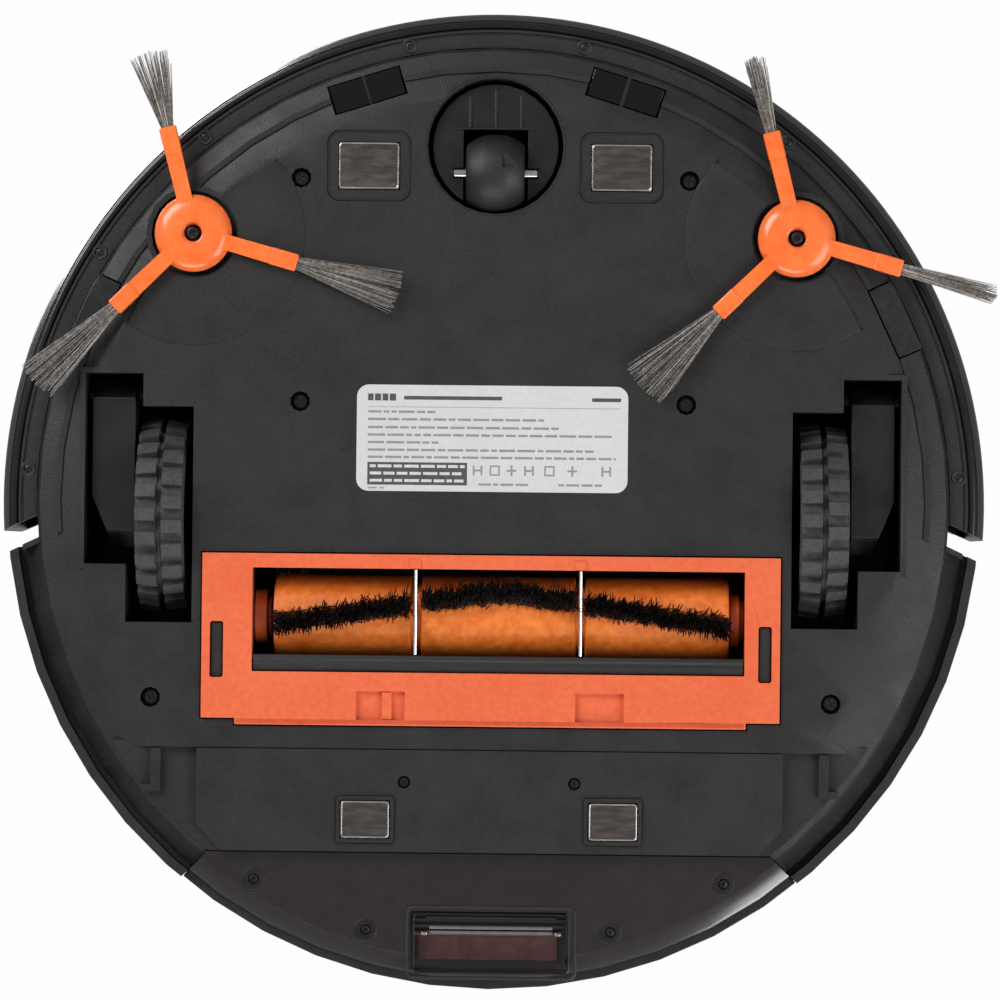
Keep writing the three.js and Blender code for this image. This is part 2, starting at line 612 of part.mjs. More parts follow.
// One wheel's drive arm: a housing for motor and gears, its pivot pin and the wheel's stub axle. Left side.
function wheelArm() {
  const [y0, y1, z0, z1] = [arm.front, arm.back, arm.bottom, arm.top];
  const plan = prism([
    [-arm.outer, y0], [-arm.inner, y0], [-arm.inner, y1], [-arm.outer + arm.chamferX, y1],
    [-arm.outer, y1 - arm.chamferY],
  ], z0, z1);
  const side = profileAlongX([
    [y0, arm.pivotZ - 4], [y0 + 6, z0], [y1 - 6, z0], [y1, z0 + 6], [y1, z1 - 14], [y1 - 14, z1], [y0 + 22, z1],
    [y0, arm.pivotZ + 6],
  ], -REACH, REACH);
  const pin = rod(arm.pin, -well.outer - RIB + 0.2, -well.middleIn + RIB - 0.2, arm.pivotY, arm.pivotZ);
  const axle = rod(wheel.axle, -arm.inner - 1, -wheel.x + wheel.width / 2 - 0.6, wheel.y, wheel.radius);
  return join(plan.intersect(side), pin, axle);
}

function casterFork() {
  const { forkRadius: r, forkBottom: z, y, pocketTop, wheelRadius, wheelWidth, trail, stem } = caster;
  const top = pocketTop - 3;
  const dome = turned([
    [0, z], [r, z], [r, z + 10], [r - 3.5, z + 19], [r - 9, top], [0, top],
  ], 0, y, LARGE);
  const axleY = y + trail;
  const [w, reach] = [wheelWidth / 2 + 1, wheelRadius + 1.6];
  const space = join(
    rod(reach, -w, w, axleY, wheelRadius, MEDIUM),
    box(-w, w, axleY - reach, axleY + reach, 0, wheelRadius),
  );
  const axle = rod(caster.pin, -w - 4.2, w + 4.2, axleY, wheelRadius);
  const earSlots = box(-w - 3.4, w + 3.4, axleY - caster.pin - GAP, axleY + caster.pin + GAP, 0, wheelRadius);
  const post = disc(stem, top - 1, pocketTop + 6, 0, y, SMALL);
  return join(cut(join(dome, post), space, earSlots), axle);
}

function casterWheel() {
  const { wheelRadius: r, wheelWidth } = caster;
  const half = wheelWidth / 2;
  const bore = caster.pin + GAP;
  const spun = turned([
    [bore, -half], [r - 3, -half], [r - 0.8, -half + 2.4], [r, -1], [r, 1], [r - 0.8, half - 2.4],
    [r - 3, half], [bore, half],
  ], 0, 0, MEDIUM);
  return solid(geometryOf(spun).rotateY(Math.PI / 2));
}

// ---------------------------------------------------------------- side brushes

// Hub and three arms about the spin axis, which is the local origin.
function brushHub() {
  const { hub, faceZ, armLength, armWidth, armThick, screwHole, shaft } = sideBrush;
  const spun = turned([
    [screwHole, faceZ + 0.6], [screwHole + 1, faceZ], [7, faceZ], [hub, faceZ + 1.6], [hub, faceZ + 4],
    [6.2, faceZ + 4], [6.2, sideBrush.recessTop - 1], [shaft + GAP, sideBrush.recessTop - 1],
    [shaft + GAP, faceZ + 3.2], [screwHole, faceZ + 3.2],
  ], 0, 0, MEDIUM);
  const [root, tip] = [armWidth / 2, armWidth / 2 + 0.3];
  const arms = [0, 120, 240].map((degrees) => {
    const bar = prism([[7, -root], [armLength, -tip], [armLength, tip], [7, root]], faceZ + 0.3,
      faceZ + 0.3 + armThick);
    return tilted(bar, 0, 0, degrees);
  });
  return join(spun, ...arms);
}

// A tuft fans out from the end of its arm and droops towards the floor.
function tuft({ reach, spread }) {
  const start = sideBrush.armLength + GAP;
  const geometry = new THREE.BoxGeometry(1, 1, 1, 3, 1, 1);
  const places = geometry.getAttribute("position");
  for (let i = 0; i < places.count; i += 1) {
    const along = places.getX(i) + 0.5;
    const width = sideBrush.armWidth * 0.8 * (1 - along) + spread * along;
    const thick = sideBrush.armThick * 0.9 + 1.2 * along;
    const middle = sideBrush.faceZ + 1.4 - 2.4 * along * along;
    places.setXYZ(i, start + along * (reach - start), places.getY(i) * width, middle + places.getZ(i) * thick);
  }
  return solid(geometry);
}

// ---------------------------------------------------------------- main brush and its cover

// The roller's twist: its rows point towards the front in the middle and straight down at the ends.
function rowAngle(x) {
  const middle = (roller.left + roller.right) / 2;
  const half = (roller.right - roller.left) / 2;
  const share = Math.min(1, Math.abs(x - middle) / half);
  return THREE.MathUtils.degToRad(roller.midAngle + (roller.endAngle - roller.midAngle) * share);
}

// One bristle row about the roller's own axis, which lies along X. At angle 0 it points down.
function bristleRow(startDegrees) {
  const { left, right, core, bristle, rowThick } = roller;
  const length = right - left;
  const geometry = new THREE.BoxGeometry(length, 1, 1, 14, 1, 1).translate((left + right) / 2, 0, 0);
  const places = geometry.getAttribute("position");
  const start = THREE.MathUtils.degToRad(startDegrees);
  for (let i = 0; i < places.count; i += 1) {
    const x = places.getX(i);
    const outward = core + GAP + (0.5 - places.getZ(i)) * (bristle - core - GAP);
    const turn = start + rowAngle(x);
    const [dy, dz] = [places.getY(i) * rowThick, -outward];
    places.setXYZ(i, x, dy * Math.cos(turn) - dz * Math.sin(turn), dy * Math.sin(turn) + dz * Math.cos(turn));
  }
  const row = solid(geometry);
  const wireSpace = cover.wires.map((x) => {
    const outer = rod(REACH, x - roller.grooveWidth, x + roller.grooveWidth, 0, 0);
    return outer.subtract(rod(core + 1.8, x - 5, x + 5, 0, 0, MEDIUM));
  });
  return cut(row, ...wireSpace);
}

function rollerCore() {
  const { left, right, core, groove, grooveWidth, boss } = roller;
  const drum = rod(core, left, right, 0, 0, LARGE);
  const ends = rod(boss, left - 1.2, right + 3.6, 0, 0, MEDIUM);
  const axle = rod(3, left - 5.5, right + 3.6, 0, 0);
  const grooves = cover.wires.map((x) => {
    const outer = rod(core + 5, x - grooveWidth / 2, x + grooveWidth / 2, 0, 0, LARGE);
    return outer.subtract(rod(groove, x - 5, x + 5, 0, 0, MEDIUM));
  });
  return join(cut(drum, ...grooves), ends, axle);
}

function rollerBearing() {
  const x = roller.left - 1.2 - PLAY;
  const block = rod(roller.boss + 0.6, cover.windowLeft - 0.2, x, roller.y, roller.z, MEDIUM);
  return cut(block, rod(3 + PLAY, x - 10, x + 1, roller.y, roller.z));
}

function brushCover() {
  const { face, thick, windowLeft, windowRight, windowFront, windowBack } = cover;
  const slab = prism(coverOutline(0), face, face + thick);
  const window = box(windowLeft, windowRight, windowFront, windowBack, 0, REACH);
  const slots = bothSides(roundedBlock(cover.slotWidth, cover.slotLength, 0.8, 0, REACH, cover.slotX,
    cover.slotY));
  const [tabLeft, tabRight] = [cover.tabX - cover.tabWidth / 2, cover.tabX + cover.tabWidth / 2];
  const tab = box(tabLeft, tabRight, cover.tabFront, cover.back + 0.4, 0, face + cover.tabDepth);
  const grip = box(-tabLeft - 4.4, -tabLeft - 7.6, cover.tabFront + 0.2, cover.back, face + 0.4, face + 3);
  return join(cut(slab, window, slots, bothSides(tab)), grip);
}

function guardWire(x) {
  const { windowFront, windowBack, lipDepth, wireRadius, face } = cover;
  const [y0, y1] = [windowFront + GAP, windowBack - lipDepth - GAP];
  const wire = new THREE.CylinderGeometry(wireRadius, wireRadius, y1 - y0, 8);
  return solid(wire.translate(x, (y0 + y1) / 2, face + 1));
}

function scraperLip() {
  const { windowLeft, windowRight, windowBack, lipDepth, face, thick } = cover;
  const [y0, y1] = [windowBack - lipDepth, windowBack - GAP];
  const strip = profileAlongX([
    [y0, face + 0.6], [y0 + 1.2, face + 0.2], [y0 + 2.2, face + 1], [y0 + 3.2, face + 0.4], [y1, face + 0.9],
    [y1, face + thick], [y0 + 3, face + thick], [y0, face + thick / 2],
  ], windowLeft + GAP, windowRight - GAP);
  return strip;
}

// ---------------------------------------------------------------- rear plate and dust bin

function rearPlate() {
  const { halfX, front: y0, back, cornerX, cornerY, face, thick } = plate;
  const [w, d] = [contact.rearWidth + 2 * contact.rearBezel, contact.rearDepth + 2 * contact.rearBezel];
  const slab = prism([
    [-halfX, y0], [halfX, y0], [halfX, back - cornerY], [halfX - 2.4, back - cornerY + 2.4],
    [halfX - cornerX, back], [-halfX + cornerX, back], [-halfX + 2.4, back - cornerY + 2.4],
    [-halfX, back - cornerY],
  ], face, face + thick);
  return cut(
    slab,
    bothSides(bezelGroove(w, d, 2.4, face, contact.rearX, contact.rearY)),
    bothSides(contactSeat(contact.rearX, contact.rearY, contact.rearWidth, contact.rearDepth, face)),
    ...screws.plate.map(([x, y]) => bothSides(disc(screws.plateRadius, 0, face + 1.8, x, y, SMALL))),
  );
}

// The see-through lower half of the bin, with the emptying port in its floor.
function binBase() {
  const { bottom, split, stepY, stepBottom, wall, bevelInset, rimInset } = bin;
  const outer = body.radius - rimInset;
  const bowl = turned([
    [0, bottom], [body.radius - bevelInset, bottom], [outer - 2, bottom + 5.6], [outer, split], [0, split],
  ], 0, 0, FACETS);
  const hull = cut(binPlan(0, 0, split).intersect(bowl), box(-REACH, REACH, 0, stepY, 0, stepBottom));
  const floor = stepBottom + wall;
  const rearFloorTop = bottom + wall;
  const inside = join(
    binPlan(-wall, floor, REACH).intersect(disc(outer - wall - 3, 0, REACH, 0, 0, FACETS)),
    binPlan(-wall, rearFloorTop, REACH).intersect(disc(outer - wall - 6, 0, REACH, 0, 0, FACETS))
      .intersect(box(-REACH, REACH, stepY + wall, REACH, 0, REACH)),
  );
  const { halfX, frame, top } = port;
  const frameBlock = box(-halfX - frame, halfX + frame, port.front - frame, port.back + frame, bottom, top)
    .intersect(bowl);
  const pocket = box(-halfX, halfX, port.front, port.back, 0, top - wall);
  const hole = box(-port.holeHalfX, port.holeHalfX, port.holeFront, port.holeBack, 0, REACH);
  const ribs = [2.6, 4.6].map((dy) =>
    box(-halfX - 1, halfX + 1, port.front + dy, port.front + dy + 0.9, top - wall - 3, top - 0.5));
  const screwHoles = screws.bin.map(([x, y]) =>
    bothSides(disc(screws.binRadius, 0, bottom + 1.4, x, y, SMALL)));
  const shellPart = cut(hull, inside);
  return join(cut(join(shellPart, frameBlock), pocket, hole, ...screwHoles), ...ribs);
}

// The bin's black upper half: top, sides, front with inlet and filter window, and the rear face.
function binCover() {
  const { split, top, wall } = bin;
  const z0 = split + GAP;
  const outside = binPlan(0, z0, top).intersect(disc(body.radius, 0, REACH, 0, 0, FACETS));
  const inside = binPlan(-wall, 0, top - wall).intersect(disc(body.radius - wall - 1, 0, REACH, 0, 0, FACETS));
  const inlet = box(-throat.halfX, throat.halfX, 0, bin.front + 10, throat.bottom, throat.top);
  const filterWindow = box(48, 82, 0, bin.front + 10, blower.bottom, bin.top - 5);
  const latchHole = box(-latch.halfX - PLAY, latch.halfX + PLAY, body.radius - 20, REACH, latch.bottom - PLAY,
    latch.top + PLAY);
  return cut(outside, inside, inlet, filterWindow, latchHole);
}

// The flap closes the port's hole from below and swings down from a pin at its front edge.
function binFlap() {
  const [y, z] = [port.holeFront - port.flapPin, port.top - bin.wall - GAP - port.flapPin];
  const halfX = port.holeHalfX + 1.2;
  const leaf = box(-halfX, halfX, y, port.holeBack + 0.8, z - 0.3, z + port.flapPin);
  return join(leaf, rod(port.flapPin, -halfX - 1.6, halfX + 1.6, y, z));
}

function binFilter() {
  const y = bin.front + bin.wall + 0.4;
  return box(46, 84, y, y + 11, blower.bottom - 2, bin.top - bin.wall - 1);
}

function latchButton() {
  const { halfX, bottom, top, depth } = latch;
  const face = disc(body.radius - 0.4, bottom, top, 0, 0, FACETS);
  return box(-halfX, halfX, body.radius - depth - 1, REACH, bottom, top).intersect(face);
}

// ---------------------------------------------------------------- inner units

function sideGearbox() {
  const { x, y, recessTop, shaft } = sideBrush;
  const z = recessTop + RIB + PLAY;
  return join(
    disc(9, z, z + 18, x, y, SMALL),
    box(66, x - 2, y - 10, y + 11, z + 1, z + 20),
    disc(shaft, sideBrush.faceZ + 4, z + 2, x, y, SMALL),
  );
}

function rollerGearbox() {
  const x0 = cover.windowRight + RIB - 0.2;
  const x1 = well.inner - RIB - PLAY;
  const z0 = cover.face + cover.thick + RIB + 1.5;
  const motor = rod(11, 52, x0 + 1, roller.y - 39, roller.z + 5, MEDIUM);
  return join(box(x0, x1, roller.y - 49, roller.y + 20, z0, roller.z + 22), motor);
}

function blowerHousing() {
  const { x, y, radius, bottom, top, wall, eye } = blower;
  const drum = disc(radius, bottom, top, x, y, LARGE);
  const duct = box(x - 16, x + 16, y, bin.front - PLAY - RIB - 1, bottom, top);
  const hollow = disc(radius - wall, bottom + wall, top - wall, x, y, LARGE);
  const mouth = box(x - 14, x + 14, y + 10, REACH, bottom + wall, top - wall);
  return cut(join(drum, duct), hollow, mouth, disc(eye, top - wall - 1, REACH, x, y, MEDIUM));
}

function impeller() {
  const { radius, bottom, top, wall } = blower;
  const z0 = bottom + wall + 1;
  const reach = radius - wall - 3;
  const discPart = disc(reach, z0, z0 + 1.6, 0, 0, MEDIUM);
  const nose = turned([[0, z0], [9, z0], [8, top - wall - 6], [4, top - wall - 3], [0, top - wall - 3]], 0, 0, SMALL);
  const blades = [];
  for (let i = 0; i < 7; i += 1) {
    const blade = box(6, reach - 0.6, -0.7, 0.7, z0 + 1, top - wall - 4);
    const leaned = tilted(tilted(blade, 6, 0, 24), 0, 0, (i * 360) / 7);
    blades.push(leaned);
  }
  return join(discPart, nose, ...blades);
}

// ---------------------------------------------------------------- assembly

piece("chassis", chassis(), finish.blackShell);
piece("wheel_housing_left", mirrored(wheelHousing()), finish.blackPart);
piece("wheel_housing_right", wheelHousing(), finish.blackPart);
piece("brush_housing", brushHousing(), finish.blackPart);
piece("bin_bay", binBay(), finish.blackPart);
piece("top_shell", topShell(), finish.blackShell);
piece("top_panel", topPanel(), finish.blackGloss);
piece("bumper_shell", bumperShell(), finish.blackShell);
piece("bumper_trim", bumperTrim(), finish.blackShell);

const turretGroup = new THREE.Group();
turretGroup.position.set(0, turret.y, 0);
robot.add(turretGroup);
piece("lidar_base", lidarBase(), finish.blackPart);
piece("turret_cap", turretCap(), finish.blackGloss);
piece("lidar_rotor", lidarRotor(), finish.blackPart, turretGroup);
piece("lidar_belt", lidarBelt(), finish.darkRubber, turretGroup).position.z = lidarFloor + 6.2;
piece("lidar_pulley", lidarPulley(), finish.steel, turretGroup).position.y = -motorPulley.reach;

for (const [name, side, angle, inset] of cliffPlaces) {
  const lens = cliffBlock(side, angle, inset, 0, front.lipTop - 4.4, cliff.top);
  const inLip = lens.intersect(disc(lipRadius - 0.2, 0, REACH, 0, 0, FACETS));
  piece(name, inLip, finish.blackGloss);
}

for (const [name, side] of [["left", -1], ["right", 1]]) {
  const sided = (shape) => (side > 0 ? shape : mirrored(shape));

  piece(`front_contact_${name}`,
    contactPlate(side * contact.x, contact.y, contact.width, contact.depth, under), finish.steel);
  piece(`rear_contact_${name}`,
    contactPlate(side * contact.rearX, contact.rearY, contact.rearWidth, contact.rearDepth,
      plate.face), finish.steel);
  piece(`side_gearbox_${name}`, sided(sideGearbox()), finish.blackPart);

  piece(`wheel_arm_${name}`, side < 0 ? wheelArm() : mirrored(wheelArm()), finish.blackPart);
  const wheelGroup = new THREE.Group();
  wheelGroup.position.set(side * wheel.x, wheel.y, wheel.radius);
  robot.add(wheelGroup);
  piece(`tyre_${name}`, tyre(), finish.tyre, wheelGroup);
  piece(`wheel_rim_${name}`, sided(wheelRim()), finish.blackPart, wheelGroup);

  const brushGroup = new THREE.Group();
  brushGroup.position.set(side * sideBrush.x, sideBrush.y, 0);
  brushGroup.rotation.z = THREE.MathUtils.degToRad(sideBrush.phase);
  robot.add(brushGroup);
  piece(`side_brush_${name}`, brushHub(), finish.orangeGloss, brushGroup);
  tufts[name].forEach((size, i) => {
    const mesh = piece(`tuft_${name}_${i + 1}`, tuft(size), finish.bristleGrey, brushGroup);
    mesh.rotation.z = (i * 2 * Math.PI) / 3;
  });
}

piece("caster_fork", casterFork(), finish.blackPart);
const casterGroup = new THREE.Group();
casterGroup.position.set(0, caster.y + caster.trail, caster.wheelRadius);
robot.add(casterGroup);
piece("caster_wheel", casterWheel(), finish.darkRubber, casterGroup);

const rollerGroup = new THREE.Group();
rollerGroup.position.set(0, roller.y, roller.z);
robot.add(rollerGroup);
piece("roller_core", rollerCore(), finish.orangeRubber, rollerGroup);
for (let i = 0; i < roller.rows; i += 1) {
  piece(`bristle_row_${i + 1}`, bristleRow((i * 360) / roller.rows), finish.bristleBlack, rollerGroup);
}
piece("brush_cover", brushCover(), finish.orangeGloss);
piece("guard_wire_left", guardWire(cover.wires[0]), finish.steel);
piece("guard_wire_right", guardWire(cover.wires[1]), finish.steel);
piece("scraper_lip", scraperLip(), finish.darkRubber);

piece("rear_plate", rearPlate(), finish.blackShell);
piece("bin_base", binBase(), finish.smoky);
piece("bin_cover", binCover(), finish.blackShell);
piece("bin_flap", binFlap(), finish.darkRubber);
piece("bin_filter", binFilter(), finish.filterPaper);
piece("bin_latch", latchButton(), finish.blackGloss);

const keyBottom = ceiling - 1;
piece("power_button", disc(button.radius, keyBottom, body.height + 1, -button.x, button.y, MEDIUM),
  finish.blackGloss);
piece("home_button", disc(button.radius, keyBottom, body.height + 1, button.x, button.y, MEDIUM),
  finish.blackGloss);

piece("battery_pack", box(battery.left, battery.right, battery.front, battery.back, battery.bottom,
  battery.bottom + battery.height), finish.cell);
piece("main_board", box(battery.left - 4, battery.right + 2, battery.front - 2, battery.back + 2,
  battery.bottom + battery.height + 2, battery.bottom + battery.height + 3.6), finish.board);
piece("blower_housing", blowerHousing(), finish.blackPart);
const blowerGroup = new THREE.Group();
blowerGroup.position.set(blower.x, blower.y, 0);
robot.add(blowerGroup);
piece("impeller", impeller(), finish.blackPart, blowerGroup);

export default robot;
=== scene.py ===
import json
import math
import random

import bpy
from mathutils import Matrix, Vector


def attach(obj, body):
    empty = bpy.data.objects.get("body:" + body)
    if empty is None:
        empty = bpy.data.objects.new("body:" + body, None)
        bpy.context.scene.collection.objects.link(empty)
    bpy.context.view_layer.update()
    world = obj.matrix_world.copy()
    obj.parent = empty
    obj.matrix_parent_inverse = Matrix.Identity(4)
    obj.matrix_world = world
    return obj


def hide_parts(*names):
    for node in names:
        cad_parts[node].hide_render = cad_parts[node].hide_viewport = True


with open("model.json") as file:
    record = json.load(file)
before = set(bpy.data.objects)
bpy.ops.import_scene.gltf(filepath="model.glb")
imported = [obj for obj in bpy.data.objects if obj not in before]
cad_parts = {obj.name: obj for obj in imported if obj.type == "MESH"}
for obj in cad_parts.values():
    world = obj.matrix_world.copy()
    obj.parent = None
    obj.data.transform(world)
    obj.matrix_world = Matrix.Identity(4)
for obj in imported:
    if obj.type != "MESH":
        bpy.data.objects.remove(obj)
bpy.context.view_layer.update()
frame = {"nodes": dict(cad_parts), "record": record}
scene = bpy.context.scene
scene.view_settings.view_transform = "Standard"

BODY_OF = {node: body for body, nodes in frame["record"]["behaviour"]["bodies"].items() for node in nodes}
MM = 0.001


def mm(*lengths):
    return tuple(length * MM for length in lengths)


# ---------------------------------------------------------------- camera, light and floor

def set_camera():
    """Looks up at the underside from a little behind and to the right of straight below."""
    data = bpy.data.cameras.new("underside_camera")
    data.sensor_width = 36
    data.lens = 152.5
    data.clip_end = 20
    camera = bpy.data.objects.new("underside_camera", data)
    camera.location = mm(27.4, 18.9, -1400)
    camera.rotation_euler = [math.radians(a) for a in (-179.174, -0.997, -0.605)]
    scene.collection.objects.link(camera)
    scene.camera = camera


def softbox(name, place, size, watts):
    data = bpy.data.lights.new(name, "AREA")
    data.shape = "RECTANGLE"
    data.size, data.size_y = size
    data.energy = watts
    lamp = bpy.data.objects.new(name, data)
    lamp.location = place
    lamp.rotation_euler = (Vector((0, 0, 0.03)) - Vector(place)).to_track_quat("-Z", "Y").to_euler()
    scene.collection.objects.link(lamp)


def set_lights():
    softbox("key_below_left", (-1.0, -0.9, -1.0), (0.9, 0.9), 23)
    softbox("fill_below_right", (1.1, 0.5, -1.0), (1.0, 1.0), 15)
    softbox("rim_below_rear", (-0.2, 1.3, -0.6), (1.2, 0.5), 9)
    softbox("key_above_left", (-1.0, -1.0, 1.4), (1.0, 1.0), 26)
    softbox("fill_above_rear", (1.1, 0.9, 1.1), (1.2, 1.2), 18)
    world = bpy.data.worlds.new("pale_studio")
    world.use_nodes = True
    tree = world.node_tree
    tree.nodes.clear()
    out = tree.nodes.new("ShaderNodeOutputWorld")
    seen, lit, mix = (tree.nodes.new(kind) for kind in ("ShaderNodeBackground", "ShaderNodeBackground",
                                                        "ShaderNodeMixShader"))
    path = tree.nodes.new("ShaderNodeLightPath")
    seen.inputs["Color"].default_value = (0.99, 0.99, 0.99, 1)
    lit.inputs["Color"].default_value = (1, 1, 1, 1)
    lit.inputs["Strength"].default_value = 0.3
    tree.links.new(path.outputs["Is Camera Ray"], mix.inputs[0])
    tree.links.new(lit.outputs[0], mix.inputs[1])
    tree.links.new(seen.outputs[0], mix.inputs[2])
    tree.links.new(mix.outputs[0], out.inputs[0])
    scene.world = world


def lay_floor():
    """A pale sheet that is clear from underneath, so that the underside can be looked at through it."""
    clear_selection()
    bpy.ops.mesh.primitive_plane_add(size=9, location=(0, 0, 0))
    floor = bpy.context.object
    floor.name = "studio_floor"
    paper, tree, shader = new_material("matt_studio_paper", "#f2f2f1", 0.9)
    out = tree.nodes["Material Output"]
    clear = add(tree, "ShaderNodeBsdfTransparent")
    side = add(tree, "ShaderNodeNewGeometry")
    mix = add(tree, "ShaderNodeMixShader", links={0: side.outputs["Backfacing"], 1: shader.outputs[0],
                                                  2: clear.outputs[0]})
    tree.links.new(mix.outputs[0], out.inputs["Surface"])
    floor.data.materials.append(paper)
    for kind in ("visible_shadow", "visible_diffuse", "visible_glossy", "visible_transmission"):
        setattr(floor, kind, False)


# ---------------------------------------------------------------- materials

def linear(hex_colour):
    """sRGB hex to the linear colour that a shader takes."""
    parts = [int(hex_colour[i:i + 2], 16) / 255 for i in (1, 3, 5)]
    return tuple(c / 12.92 if c <= 0.04045 else ((c + 0.055) / 1.055) ** 2.4 for c in parts) + (1,)


def add(tree, kind, links=None, **settings):
    """Adds a node, with its settings by name, its inputs by {name: value}, and its links by {input: output}."""
    node = tree.nodes.new(kind)
    for name, value in settings.pop("inputs", {}).items():
        node.inputs[name].default_value = value
    for name, value in settings.items():
        setattr(node, name, value)
    for name, output in (links or {}).items():
        tree.links.new(output, node.inputs[name])
    return node


def new_material(name, colour, roughness, metallic=0.0, ior=None):
    material = bpy.data.materials.new(name)
    material.use_nodes = True
    tree = material.node_tree
    shader = tree.nodes["Principled BSDF"]
    shader.inputs["Base Color"].default_value = linear(colour)
    shader.inputs["Roughness"].default_value = roughness
    shader.inputs["Metallic"].default_value = metallic
    if ior:
        shader.inputs["IOR"].default_value = ior
    return material, tree, shader


def grained(name, dark, light, roughness, grain_mm, depth, blotch_mm=14.0, ior=1.52, specular=0.5, rough_swing=0.08):
    """A moulded surface: fine grain in relief, with slow changes of colour and roughness."""
    material, tree, shader = new_material(name, dark, roughness, ior=ior)
    shader.inputs["Specular IOR Level"].default_value = specular
    place = add(tree, "ShaderNodeTexCoord")
    spot = place.outputs["Object"]
    blotch = add(tree, "ShaderNodeTexNoise", {"Vector": spot}, inputs={"Scale": 1000 / blotch_mm, "Detail": 4.0,
                                                                    "Roughness": 0.6})
    speck = add(tree, "ShaderNodeTexNoise", {"Vector": spot}, inputs={"Scale": 1000 / (grain_mm * 3), "Detail": 3.0})
    both = add(tree, "ShaderNodeMix", {2: speck.outputs[0], 3: blotch.outputs[0]}, inputs={0: 0.4})
    ramp = add(tree, "ShaderNodeValToRGB", {0: both.outputs[0]})
    ramp.color_ramp.elements[0].position, ramp.color_ramp.elements[1].position = 0.36, 0.64
    ramp.color_ramp.elements[0].color, ramp.color_ramp.elements[1].color = linear(dark), linear(light)
    tree.links.new(ramp.outputs[0], shader.inputs["Base Color"])
    rough = add(tree, "ShaderNodeMapRange", {0: blotch.outputs[0]}, inputs={1: 0.3, 2: 0.7, 3: roughness - rough_swing,
                                                                        4: roughness + rough_swing})
    tree.links.new(rough.outputs[0], shader.inputs["Roughness"])
    grain = add(tree, "ShaderNodeTexNoise", {"Vector": spot}, inputs={"Scale": 1000 / grain_mm, "Detail": 2.0})
    bump = add(tree, "ShaderNodeBump", {"Height": grain.outputs[0]}, inputs={"Strength": depth, "Distance": 0.0002})
    tree.links.new(bump.outputs[0], shader.inputs["Normal"])
    return material


def brushed(name, dark, light, roughness, line_mm, along):
    """Metal with fine straight scratches, its colour changing a little from one to the next."""
    material, tree, shader = new_material(name, dark, roughness, metallic=1.0)
    place = add(tree, "ShaderNodeTexCoord")
    stretch = add(tree, "ShaderNodeMapping", {"Vector": place.outputs["Object"]})
    stretch.inputs["Scale"].default_value = along
    lines = add(tree, "ShaderNodeTexNoise", {"Vector": stretch.outputs[0]}, inputs={"Scale": 1000 / line_mm,
                                                                                   "Detail": 3.0})
    ramp = add(tree, "ShaderNodeValToRGB", {0: lines.outputs[0]})
    ramp.color_ramp.elements[0].position, ramp.color_ramp.elements[1].position = 0.35, 0.65
    ramp.color_ramp.elements[0].color, ramp.color_ramp.elements[1].color = linear(dark), linear(light)
    tree.links.new(ramp.outputs[0], shader.inputs["Base Color"])
    rough = add(tree, "ShaderNodeMapRange", {0: lines.outputs[0]}, inputs={1: 0.3, 2: 0.7, 3: roughness - 0.07,
                                                                       4: roughness + 0.07})
    tree.links.new(rough.outputs[0], shader.inputs["Roughness"])
    bump = add(tree, "ShaderNodeBump", {"Height": lines.outputs[0]}, inputs={"Strength": 0.15, "Distance": 0.0001})
    tree.links.new(bump.outputs[0], shader.inputs["Normal"])
    return material


